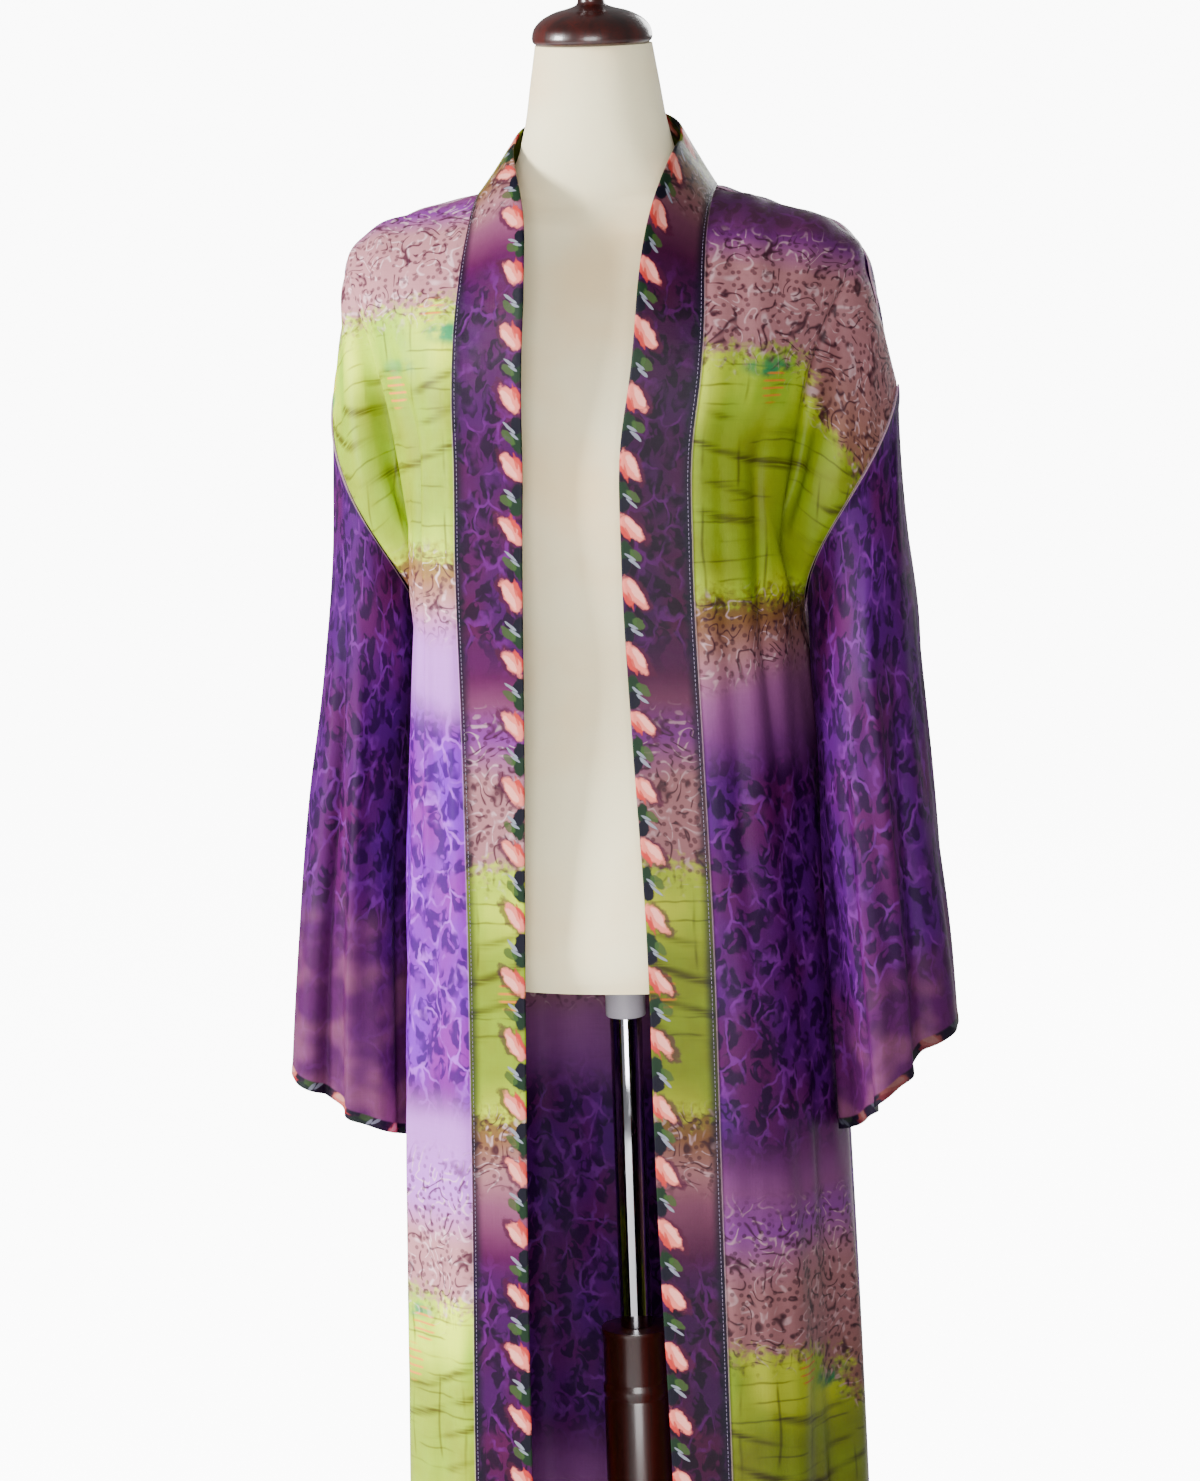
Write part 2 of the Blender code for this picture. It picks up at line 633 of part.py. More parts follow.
def build_coat():
    """Fronts, back, sleeves and band, each a wall of its own."""
    fronts = {side: front_grid(side) for side in ("left", "right")}
    back = back_grid()
    front_width = shoulder_length()
    back_width = 2.0 * (NECK_HALF_WIDTH + shoulder_length())
    grids = {"front_left": fronts["left"], "front_right": fronts["right"], "back": back}
    depths = {"back": fold_depth("back", back, back_width)}
    for name in ("front_left", "front_right"):
        depths[name] = fold_depth(name, grids[name], front_width) + arm_fold_depth(grids[name], front_width)
    for name, depth in depths.items():
        outward = grid_normals(grids[name]) * piece_turn(name)
        depth = depth * border_share(grids[name])
        grids[name] = grids[name] + outward * depth[:, :, None]
    fronts = {"left": grids["front_left"], "right": grids["front_right"]}
    grids["neckband"] = band_grid(fronts, grids["back"])
    for side, column in (("left", -1), ("right", 0)):
        name = "sleeve_" + side
        front = fronts[side]
        back_side = grids["back"][column]
        if side == "right":
            grid = mirror_x(sleeve_grid(side, mirror_x(front), mirror_x(back_side)))
        else:
            grid = sleeve_grid(side, front, back_side)
        outward = grid_normals(grid, closed=True) * piece_turn(name)
        grids[name] = grid + outward * sleeve_fold_depth(side, grid)[:, :, None]
    normals = {name: grid_normals(grid, name.startswith("sleeve")) for name, grid in grids.items()}
    for name in normals:
        normals[name] = normals[name] * piece_turn(name)
    shared_normals(grids, normals)
    cloth = {
        "front_left": (0.24, 0.40, 0.06),
        "front_right": (0.60, 0.80, 0.12),
        "back": (0.10, 0.03, 0.22),
        "sleeve_left": (0.09, 0.03, 0.20),
        "sleeve_right": (0.16, 0.06, 0.34),
        "neckband": (0.06, 0.02, 0.16),
    }
    for name, colour in cloth.items():
        closed = name.startswith("sleeve")
        thickness = BAND_THICKNESS if name == "neckband" else CLOTH_THICKNESS
        piece = wall_mesh(name, draw_in(grids[name], closed), normals[name], thickness, closed)
        dress(piece, material(name + "_cloth", colour, 0.45))


def border_share(grid):
    """1 inside a panel, easing to 0 at its side borders so that neighbours still meet."""
    places = np.linspace(0.0, 1.0, len(grid))[:, None]
    edge = smooth_step(np.minimum(places, 1.0 - places) / FOLD_FREE_BORDER)
    return edge * np.ones(grid.shape[:2])


def piece_turn(name):
    """Sign that turns a piece's normals outward."""
    return -1.0 if name in ("front_left", "sleeve_left") else 1.0


def build_stand():
    """Dress form, cap, collar, pole, column and base."""
    dress(form_mesh("form_torso"), material("jersey", (0.95, 0.87, 0.70), 0.85))
    dress(turned_mesh("neck_cap", CAP_PROFILE, CAP_BASE_Z), material("cap_wood", (0.07, 0.015, 0.008), 0.3))
    dress(turned_mesh("pole_collar", COLLAR_PROFILE), material("collar_plastic", (0.55, 0.52, 0.56), 0.4))
    pole_profile = ((POLE_RADIUS, POLE_BOTTOM_Z), (POLE_RADIUS, POLE_TOP_Z))
    dress(turned_mesh("pole", pole_profile), material("pole_chrome", (0.80, 0.80, 0.82), 0.12, 1.0))
    dress(turned_mesh("column", COLUMN_PROFILE), material("column_wood", (0.07, 0.015, 0.008), 0.35))
    dress(turned_mesh("base", BASE_PROFILE), material("base_wood", (0.07, 0.015, 0.008), 0.35))


def build():
    """Clear the scene and build every piece."""
    for old in list(bpy.data.objects):
        bpy.data.objects.remove(old, do_unlink=True)
    build_coat()
    build_stand()


build()
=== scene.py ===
"""Looks of the kimono coat on its dress form: cloth, print, seams, stand, light and camera.

Metres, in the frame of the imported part: the wearer's left side is +X and the front faces -Y.
"""

import logging
import math
from dataclasses import dataclass, field
from enum import Enum

import bmesh
import bpy
import numpy as np
from mathutils import Matrix, Vector


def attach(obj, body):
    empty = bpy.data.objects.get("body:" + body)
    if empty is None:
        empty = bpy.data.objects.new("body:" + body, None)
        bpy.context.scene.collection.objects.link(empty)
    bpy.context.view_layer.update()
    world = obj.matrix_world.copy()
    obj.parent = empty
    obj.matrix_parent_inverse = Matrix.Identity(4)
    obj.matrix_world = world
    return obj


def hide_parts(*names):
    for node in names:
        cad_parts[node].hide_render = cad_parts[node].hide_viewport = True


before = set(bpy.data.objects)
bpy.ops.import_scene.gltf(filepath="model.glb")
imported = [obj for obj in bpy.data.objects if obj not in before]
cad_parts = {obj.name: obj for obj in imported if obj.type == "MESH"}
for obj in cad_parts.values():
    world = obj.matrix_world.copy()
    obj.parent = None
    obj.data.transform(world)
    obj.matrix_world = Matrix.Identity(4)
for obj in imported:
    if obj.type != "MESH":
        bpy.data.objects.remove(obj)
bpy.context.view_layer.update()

BODY = "root"
CUT = "cut"
SEAM = "seam"
OUT = "out"
LOG = logging.getLogger("kimono_coat")
Socket = bpy.types.NodeSocket
Material = bpy.types.Material
Piece = bpy.types.Object
Triple = tuple[float, float, float]
Colour = tuple[float, float, float, float]


class Side(Enum):
    """Side of the wearer, with the sign of its x."""

    LEFT = 1.0
    RIGHT = -1.0

    @property
    def word(self) -> str:
        """The side's name in lower case."""
        return self.name.lower()


def smooth_step(share: np.ndarray | float) -> np.ndarray:
    """Ease from 0 to 1."""
    share = np.clip(share, 0.0, 1.0)
    return share * share * (3.0 - 2.0 * share)


def smooth_curve(keys: list[float], values: list[float], at: np.ndarray | float) -> np.ndarray:
    """Read the smooth curve through some points.

    Args:
        keys: rising places of the points.
        values: the curve's value at each of them.
        at: where the curve is read.

    Returns:
        The curve's value at each place.
    """
    keys = np.asarray(keys, dtype=float)
    values = np.asarray(values, dtype=float)
    at = np.clip(np.asarray(at, dtype=float), keys[0], keys[-1])
    slopes = np.gradient(values, keys)
    cell = np.clip(np.searchsorted(keys, at, side="right") - 1, 0, len(keys) - 2)
    width = keys[cell + 1] - keys[cell]
    t = (at - keys[cell]) / width
    start = values[cell] * (2 * t**3 - 3 * t**2 + 1) + slopes[cell] * width * (t**3 - 2 * t**2 + t)
    end = values[cell + 1] * (3 * t**2 - 2 * t**3) + slopes[cell + 1] * width * (t**3 - t**2)
    return start + end


def unit(vectors: np.ndarray) -> np.ndarray:
    """Vectors brought to length one."""
    return vectors / np.maximum(np.linalg.norm(vectors, axis=-1, keepdims=True), 1e-9)


def lengths_along(points: np.ndarray, axis: int) -> np.ndarray:
    """Distance run through a grid of points along one of its axes, from its start.

    Args:
        points: the grid.
        axis: the axis that is run along.

    Returns:
        The distance at each point.
    """
    steps = np.linalg.norm(np.diff(points, axis=axis), axis=-1)
    start = np.zeros_like(np.take(steps, [0], axis=axis))
    return np.concatenate((start, np.cumsum(steps, axis=axis)), axis=axis)


def mirror_x(points: np.ndarray) -> np.ndarray:
    """The same points on the other side of the middle."""
    return points * np.array((-1.0, 1.0, 1.0))


@dataclass(frozen=True)
class Table:
    """Short table whose columns are read at a place along its first one."""

    fields: tuple[str, ...]
    rows: tuple[tuple[float, ...], ...]

    def value(self, name: str, at: np.ndarray | float) -> np.ndarray:
        """Value of one column at a place between the rows.

        Args:
            name: the column.
            at: place along the first column.

        Returns:
            The smooth value there.
        """
        ordered = sorted(self.rows)
        column = self.fields.index(name)
        return smooth_curve([row[0] for row in ordered], [row[column] for row in ordered], at)


@dataclass(frozen=True)
class Fold:
    """Hanging fold of a panel: its place across and drift, depth outward and half width, and its heights."""

    piece: str
    place: float
    drift: float
    depth: float
    half_width: float
    start_z: float
    full_z: float


@dataclass(frozen=True)
class SleeveFold:
    """Fold down a sleeve: 0 lies outside, 0.25 in front, 0.5 inside and 0.75 behind."""

    side: str
    place: float
    depth: float
    half_width: float
    start: float


@dataclass(frozen=True)
class Crease:
    """Soft trough or ridge: place and lean across, where it starts and ends, and its depth and half width."""

    piece: str
    place: float
    lean: float
    top: float
    bottom: float
    depth: float
    half_width: float


def grouped(kind: type, table: dict[str, tuple[tuple[float, ...], ...]]) -> tuple:
    """Rows of a table that is grouped by piece, each as one of a kind."""
    return tuple(kind(piece, *row) for piece, rows in table.items() for row in rows)


@dataclass
class Cloth:
    """Surface of one piece of cloth with its place in the cut.

    Points run across the piece and then down it. The cut holds, for each of them, the distance across,
    the distance down, and the distance up from the hem, which on the neckband is the way along it from
    the middle of the back. The seam is each point's distance from the nearest seam.
    """

    name: str
    points: np.ndarray
    cut: np.ndarray
    seam: np.ndarray
    turn: float
    closed: bool = False

    def normals(self) -> np.ndarray:
        """Unit normals that face outward.

        Returns:
            One direction for each point.
        """
        if self.closed:
            across = np.roll(self.points, -1, axis=0) - np.roll(self.points, 1, axis=0)
        else:
            across = np.gradient(self.points, axis=0)
        down = np.gradient(self.points, axis=1)
        return unit(np.cross(across, down)) * self.turn

    def move_out(self, depth: np.ndarray) -> None:
        """Move each point outward by its own depth."""
        self.points = self.points + self.normals() * depth[:, :, None]

    def shell(self, half_wall: np.ndarray, finishes: list[Material]) -> Piece:
        """Build the piece as a thin closed shell.

        Args:
            half_wall: half the wall at each point.
            finishes: the outer face's material, then the inner face's.

        Returns:
            The new object, at the origin.
        """
        columns, rows = self.points.shape[:2]
        normals = self.normals() * half_wall[:, :, None]
        layers = np.concatenate((self.points + normals, self.points - normals)).reshape(-1, 3)
        last = columns if self.closed else columns - 1
        marks = np.concatenate((self.cut, self.seam[:, :, None]), axis=-1)
        if self.closed:
            marks = np.concatenate((marks, self.wrapped_column(marks)))
        faces = []
        places = []
        inner_start = columns * rows

        def strip(corners: list[tuple[np.ndarray, np.ndarray, bool]], flip: bool) -> None:
            """Add quads whose corners are given as columns, rows and whether they lie inside.

            Args:
                corners: the four corners of every quad.
                flip: whether to turn the quads over.
            """
            quads = np.stack([(c % columns) * rows + r + inner_start * inside for c, r, inside in corners], -1)
            found = np.stack([marks[c, r] for c, r, _ in corners], -2)
            if flip:
                quads = quads[..., ::-1]
                found = found[..., ::-1, :]
            faces.append(quads.reshape(-1, 4))
            places.append(found.reshape(-1, 4, 4))

        c, r = np.meshgrid(np.arange(last), np.arange(rows - 1), indexing="ij")
        flipped = self.turn < 0.0
        outer = [(c, r, False), (c + 1, r, False), (c + 1, r + 1, False), (c, r + 1, False)]
        inner = [(c, r, True), (c + 1, r, True), (c + 1, r + 1, True), (c, r + 1, True)]
        strip(outer, flipped)
        strip(inner, not flipped)
        for row, turned in ((0, False), (rows - 1, True)):
            c = np.arange(last)
            r = np.full(last, row)
            ring = [(c + 1, r, False), (c, r, False), (c, r, True), (c + 1, r, True)]
            strip(ring, flipped != turned)
        if not self.closed:
            for column, turned in ((0, False), (columns - 1, True)):
                r = np.arange(rows - 1)
                c = np.full(rows - 1, column)
                side = [(c, r, False), (c, r + 1, False), (c, r + 1, True), (c, r, True)]
                strip(side, flipped != turned)
        inner_faces = np.arange(len(faces[0]), len(faces[0]) + len(faces[1]))
        faces = np.concatenate(faces)
        places = np.concatenate(places).astype(np.float32)
        mesh = bpy.data.meshes.new(self.name + "_cloth")
        mesh.from_pydata(layers.tolist(), [], faces.tolist())
        slots = np.zeros(len(faces), dtype=np.int32)
        slots[inner_faces] = 1
        for finish in finishes:
            mesh.materials.append(finish)
        mesh.polygons.foreach_set("material_index", slots)
        mesh.attributes.new(CUT, "FLOAT_VECTOR", "CORNER").data.foreach_set("vector", places[..., :3].ravel())
        mesh.attributes.new(SEAM, "FLOAT", "CORNER").data.foreach_set("value", places[..., 3].ravel())
        mesh.shade_smooth()
        mesh.set_sharp_from_angle(angle=math.radians(60.0))
        mesh.validate()
        return link(mesh.name, mesh)

    def wrapped_column(self, marks: np.ndarray) -> np.ndarray:
        """The first column's places in the cut, one whole turn on.

        Args:
            marks: places in the cut and seam distances.

        Returns:
            The column that closes the tube.
        """
        first = marks[:1].copy()
        first[0, :, 0] = marks[-1, :, 0] + np.linalg.norm(self.points[0] - self.points[-1], axis=-1)
        return first


def link(name: str, mesh: bpy.types.Mesh) -> Piece:
    """Put a mesh in the scene as an object of that name.

    Args:
        name: the object's name.
        mesh: its mesh.

    Returns:
        The new object.
    """
    piece = bpy.data.objects.new(name, mesh)
    bpy.context.scene.collection.objects.link(piece)
    return piece


@dataclass
class CoatCut:
    """Shape of the coat's pieces, worked out from the sizes of its cut."""

    hem_z: float = 0.100
    underarm_z: float = 1.085
    neck_point_z: float = 1.416
    back_neck_z: float = 1.420
    neck_half_width: float = 0.092
    neck_point_y: float = 0.005
    back_neck_y: float = 0.074
    shoulder_roll: float = 0.170
    shoulder_fullness: float = 1.15
    side_draw_in: float = 0.180
    front_y: float = -0.120
    back_y: float = 0.128
    side_y: float = 0.005
    armhole_front_bulge: float = 0.062
    armhole_back_bulge: float = 0.056
    armhole_bulge_start: float = 0.42
    back_band_rise: float = 0.056
    back_band_forward: float = 0.006
    back_band_steepness: float = 0.7
    sleeve_settle: float = 0.36
    underarm_clearance: float = 0.0034
    underarm_focus: int = 4
    fold_free_border: float = 0.12
    arm_fold_depth: float = 0.018
    arm_fold_half_width: float = 0.024
    arm_fold_fade: float = 0.080
    armhole_rows: int = 96
    skirt_rows: int = 128
    shoulder_columns: int = 72
    neck_columns: int = 48
    band_columns: int = 16
    sleeve_rows: int = 108
    row_crowding: float = 1.3
    band_crowding: float = 1.6
    shoulder_line: Table = Table(("z", "left", "right"), (
        (1.416, 0.092, 0.092),
        (1.402, 0.145, 0.145),
        (1.387, 0.185, 0.184),
        (1.371, 0.202, 0.198),
        (1.347, 0.210, 0.204),
        (1.318, 0.216, 0.207),
        (1.288, 0.222, 0.210),
        (1.262, 0.228, 0.215),
    ))
    side_seam: Table = Table(("z", "x"), (
        (1.085, 0.152),
        (1.020, 0.158),
        (0.900, 0.166),
        (0.776, 0.171),
        (0.670, 0.175),
        (0.530, 0.179),
        (0.380, 0.182),
        (0.100, 0.186),
    ))
    band: Table = Table(("z", "left_seam", "left_edge", "right_seam", "right_edge", "forward", "rise"), (
        (0.100, 0.092, 0.048, 0.113, 0.066, 0.004, 0.000),
        (0.420, 0.092, 0.046, 0.111, 0.065, 0.004, 0.000),
        (0.640, 0.091, 0.041, 0.105, 0.061, 0.004, 0.000),
        (0.880, 0.090, 0.039, 0.100, 0.054, 0.004, 0.000),
        (1.000, 0.087, 0.034, 0.099, 0.050, 0.004, 0.000),
        (1.150, 0.084, 0.030, 0.099, 0.046, 0.004, 0.000),
        (1.228, 0.086, 0.032, 0.097, 0.043, 0.005, 0.001),
        (1.290, 0.095, 0.043, 0.098, 0.043, 0.008, 0.004),
        (1.345, 0.101, 0.053, 0.100, 0.046, 0.012, 0.012),
        (1.385, 0.100, 0.061, 0.100, 0.053, 0.012, 0.024),
        (1.416, 0.092, 0.066, 0.092, 0.063, 0.006, 0.038),
    ))
    sleeve: Table = Table(
        ("z", "left_inner", "left_outer", "right_inner", "right_outer", "front_depth", "back_depth"), (
            (0.640, 0.1805, 0.270, 0.1765, 0.281, 0.070, 0.074),
            (0.780, 0.1740, 0.263, 0.1725, 0.270, 0.074, 0.078),
            (0.940, 0.1680, 0.251, 0.1665, 0.251, 0.078, 0.082),
            (1.030, 0.1650, 0.245, 0.1640, 0.238, 0.080, 0.085),
            (1.130, 0.1640, 0.239, 0.1640, 0.226, 0.082, 0.088),
            (1.262, 0.170, 0.230, 0.166, 0.216, 0.078, 0.084),
        ))
    sleeve_hem: Table = Table(
        ("side", "outer", "inner", "set_back"), ((-1.0, 0.722, 0.660, 0.038), (1.0, 0.766, 0.684, -0.030)))
    arm_fold: Table = Table(("z", "place"), (
        (1.375, 0.50),
        (1.320, 0.56),
        (1.250, 0.64),
        (1.180, 0.76),
        (1.120, 0.89),
        (1.085, 0.99),
    ))
    folds: tuple[Fold, ...] = grouped(Fold, {
        "front_left": (
            (0.36, 0.02, 0.006, 0.020, 1.10, 0.40),
            (0.62, 0.03, -0.007, 0.018, 1.02, 0.42),
            (0.84, 0.00, 0.007, 0.018, 0.86, 0.40),
        ),
        "front_right": (
            (0.28, 0.02, -0.005, 0.018, 1.16, 0.50),
            (0.52, 0.03, 0.007, 0.018, 1.12, 0.44),
            (0.78, 0.00, -0.006, 0.017, 0.80, 0.40),
        ),
        "back": (
            (0.13, 0.01, 0.009, 0.022, 0.92, 0.36),
            (0.24, 0.00, -0.010, 0.022, 1.10, 0.40),
            (0.35, -0.01, 0.012, 0.024, 1.22, 0.40),
            (0.45, 0.00, -0.011, 0.024, 1.16, 0.36),
            (0.55, 0.01, 0.010, 0.024, 1.24, 0.44),
            (0.66, 0.01, -0.012, 0.023, 1.14, 0.38),
            (0.77, 0.01, 0.011, 0.022, 1.06, 0.36),
            (0.88, 0.00, -0.008, 0.020, 0.88, 0.36),
        ),
    })
    sleeve_folds: tuple[SleeveFold, ...] = grouped(SleeveFold, {
        "left": (
            (0.06, -0.006, 0.045, 0.40),
            (0.16, 0.009, 0.050, 0.20),
            (0.27, -0.010, 0.045, 0.25),
            (0.37, 0.006, 0.050, 0.40),
            (0.68, 0.008, 0.050, 0.30),
            (0.82, -0.009, 0.055, 0.25),
        ),
        "right": (
            (0.05, 0.007, 0.045, 0.35),
            (0.14, -0.009, 0.045, 0.30),
            (0.24, 0.010, 0.050, 0.25),
            (0.34, -0.009, 0.045, 0.35),
            (0.68, 0.008, 0.055, 0.30),
            (0.83, -0.009, 0.055, 0.30),
        ),
    })

    def shoulder_length(self) -> float:
        """Length of the shoulder line from the neck point to the armhole."""
        points = np.array(self.shoulder_line.rows)
        return float(np.hypot(np.diff(points[:, 0]), np.diff(points[:, 1])).sum())

    def shoulder_point(self, side: Side, across: float) -> tuple[float, float]:
        """x and height of a side's shoulder line at a share of its length from the neck point.

        Args:
            side: the wearer's side.
            across: share of the line's length.

        Returns:
            The distance outward and the height.
        """
        points = np.array(self.shoulder_line.rows)
        run = np.concatenate(([0.0], np.cumsum(np.hypot(np.diff(points[:, 1]), np.diff(points[:, 0])))))
        run = run / run[-1]
        outward = points[:, self.shoulder_line.fields.index(side.word)]
        return smooth_curve(run, outward, across), smooth_curve(run, points[:, 0], across)

    def row_heights(self, top_z: float) -> np.ndarray:
        """Heights of the rows of one column, from the shoulder line to the hem.

        Args:
            top_z: height of the column's top.

        Returns:
            The heights, from above.
        """
        upper = (np.arange(self.armhole_rows + 1) / self.armhole_rows) ** self.row_crowding
        lower = np.arange(1, self.skirt_rows + 1) / self.skirt_rows
        upper_z = top_z + (self.underarm_z - top_z) * upper
        return np.concatenate((upper_z, self.underarm_z + (self.hem_z - self.underarm_z) * lower))

    def roll_over_shoulder(self, drop: np.ndarray) -> np.ndarray:
        """Share of its full depth that the cloth has reached at a drop below the shoulder line."""
        share = np.clip(drop / self.shoulder_roll, 0.0, 1.0)
        return np.sqrt(1.0 - (1.0 - share) ** 2) ** self.shoulder_fullness

    def armhole_bulge(self, across: float, drop: np.ndarray, top_z: float, depth: float) -> np.ndarray:
        """Depth that the cloth swings out by where it turns over into the sleeve."""
        reach = smooth_step((across - self.armhole_bulge_start) / (1.0 - self.armhole_bulge_start))
        return depth * reach * np.sin(np.pi * np.clip(drop / (top_z - self.underarm_z), 0.0, 1.0))

    def front_column(self, side: Side, across: float) -> np.ndarray:
        """Points down one column of a front, at a share of the way from band seam to side seam.

        Args:
            side: the wearer's side.
            across: the share.

        Returns:
            The points, on the wearer's left.
        """
        top_x, top_z = self.shoulder_point(side, across)
        z = self.row_heights(top_z)
        drop = top_z - z
        seam_x = self.band.value(side.word + "_seam", z)
        turn = 0.5 * math.pi * across
        hang_x = seam_x + (self.side_seam.value("x", z) - seam_x) * math.sin(turn)
        hang_y = self.side_y + (self.front_y - self.side_y) * math.cos(turn)
        x = top_x + (hang_x - top_x) * smooth_step(drop / self.side_draw_in)
        y = self.neck_point_y + (hang_y - self.neck_point_y) * self.roll_over_shoulder(drop)
        y = y - self.armhole_bulge(across, drop, top_z, self.armhole_front_bulge)
        return np.stack((x, y, z), axis=-1)

    def neck_share(self) -> float:
        """Share of half the back's width that ends at the neck."""
        return self.neck_half_width / (self.neck_half_width + self.shoulder_length())

    def back_column(self, side: Side, across: float) -> np.ndarray:
        """Points down one column of the back, at a share of the way from centre back to side seam.

        Args:
            side: the wearer's side.
            across: the share.

        Returns:
            The points, on the wearer's left.
        """
        neck_share = self.neck_share()
        if across < neck_share:
            neck_turn = 0.5 * math.pi * across / neck_share
            top_x = self.neck_half_width * math.sin(neck_turn)
            top_y = self.neck_point_y + (self.back_neck_y - self.neck_point_y) * math.cos(neck_turn)
            top_z = self.neck_point_z + (self.back_neck_z - self.neck_point_z) * math.cos(neck_turn)
            outward = 0.0
        else:
            outward = (across - neck_share) / (1.0 - neck_share)
            top_x, top_z = self.shoulder_point(side, outward)
            top_y = self.neck_point_y
        z = self.row_heights(top_z)
        drop = top_z - z
        turn = 0.5 * math.pi * across
        hang_x = self.side_seam.value("x", z) * math.sin(turn)
        hang_y = self.side_y + (self.back_y - self.side_y) * math.cos(turn)
        x = top_x + (hang_x - top_x) * smooth_step(drop / self.side_draw_in)
        y = top_y + (hang_y - top_y) * self.roll_over_shoulder(drop)
        y = y + self.armhole_bulge(outward, drop, top_z, self.armhole_back_bulge)
        return np.stack((x, y, z), axis=-1)

    def places_across(self, points: np.ndarray) -> np.ndarray:
        """Each column's place across a panel, from 0 to 1."""
        return np.linspace(0.0, 1.0, len(points))[:, None]

    def fold_depth(self, piece: str, points: np.ndarray, width: float) -> np.ndarray:
        """How far each point of a panel is moved outward by its hanging folds.

        Args:
            piece: the panel's name.
            points: its points.
            width: its width at the shoulder.

        Returns:
            A depth for each point.
        """
        places = self.places_across(points)
        heights = points[:, :, 2]
        depth = np.zeros(heights.shape)
        for fold in self.folds:
            if fold.piece == piece:
                grown = smooth_step((fold.start_z - heights) / (fold.start_z - fold.full_z))
                away = (places - fold.place - fold.drift * grown) * width / fold.half_width
                depth += fold.depth * grown * np.exp(-away**2)
        return depth

    def armhole_fold(self, points: np.ndarray, width: float, half_width: float) -> np.ndarray:
        """How much of the inward fold between the chest and the sleeve each point takes part in.

        Args:
            points: a front's points.
            width: its width at the shoulder.
            half_width: the fold's own.

        Returns:
            A share for each point.
        """
        places = self.places_across(points)
        heights = points[:, :, 2]
        path = self.arm_fold.value("place", heights)
        shown = smooth_step((self.arm_fold.rows[0][0] - heights) / self.arm_fold_fade)
        shown = shown * smooth_step((heights - self.underarm_z) / self.arm_fold_fade)
        away = (places - path) * width / half_width
        return shown * np.exp(-away**2)

    def border_share(self, points: np.ndarray) -> np.ndarray:
        """1 inside a panel, easing to 0 at its side borders so that neighbours still meet.

        Args:
            points: the panel's points.

        Returns:
            A share for each point.
        """
        places = self.places_across(points)
        edge = smooth_step(np.minimum(places, 1.0 - places) / self.fold_free_border)
        return edge * np.ones(points.shape[:2])

    def panel_cut(self, points: np.ndarray, middle: int) -> np.ndarray:
        """Distances across from a column, down along the straight grain and up from the hem.

        Args:
            points: the panel's points.
            middle: the column that is measured from.

        Returns:
            The three distances for each point.
        """
        across = lengths_along(points, 0)
        across = across - across[middle:middle + 1]
        run = lengths_along(points, 1)
        to_hem = run[:, -1:] - run
        return np.stack((across, run[middle, -1] - to_hem, to_hem), axis=-1)

    def panel_seam(self, points: np.ndarray) -> np.ndarray:
        """Distance of each point of a panel from its side edges or its top.

        Args:
            points: the panel's points.

        Returns:
            The shortest distance for each point.
        """
        across = lengths_along(points, 0)
        nearest = np.minimum(across, across[-1:] - across)
        return np.minimum(nearest, lengths_along(points, 1))

    def front(self, side: Side) -> Cloth:
        """One front, from the band seam to the side seam.

        Args:
            side: the wearer's side.

        Returns:
            The front.
        """
        shares = np.arange(self.shoulder_columns + 1) / self.shoulder_columns
        points = np.array([self.front_column(side, share) for share in shares])
        cut = self.panel_cut(points, 0)
        if side is Side.RIGHT:
            points = mirror_x(points)
        name = "front_" + side.word
        width = self.shoulder_length()
        panel = Cloth(name, points, cut, self.panel_seam(points), -side.value)
        armhole = self.armhole_fold(points, width, self.arm_fold_half_width)
        depth = self.fold_depth(name, points, width) - self.arm_fold_depth * armhole
        panel.move_out(depth * self.border_share(points))
        return panel

    def back(self) -> Cloth:
        """The back, from the wearer's right side seam round to the left one.

        Returns:
            The back.
        """
        neck_share = self.neck_share()
        half_neck = self.neck_columns // 2
        inner = neck_share * np.arange(half_neck) / half_neck
        outward = np.arange(self.shoulder_columns + 1) / self.shoulder_columns
        shares = np.concatenate((inner, neck_share + (1.0 - neck_share) * outward))
        left = [self.back_column(Side.LEFT, share) for share in shares]
        right = [mirror_x(self.back_column(Side.RIGHT, share)) for share in shares[:0:-1]]
        points = np.array(right + left)
        panel = Cloth("back", points, self.panel_cut(points, len(right)), self.panel_seam(points), 1.0)
        width = 2.0 * (self.neck_half_width + self.shoulder_length())
        panel.move_out(self.fold_depth("back", points, width) * self.border_share(points))
        return panel

    def band_edge(self, side: Side, seam: np.ndarray) -> np.ndarray:
        """Free edge of the band beside its seam down a front, which is given on the wearer's left.

        Args:
            side: the wearer's side.
            seam: points down the seam.

        Returns:
            Points down the edge.
        """
        z = seam[:, 2]
        edge = seam.copy()
        edge[:, 0] += self.band.value(side.word + "_edge", z) - self.band.value(side.word + "_seam", z)
        edge[:, 1] -= self.band.value("forward", z)
        edge[:, 2] += self.band.value("rise", z)
        return edge

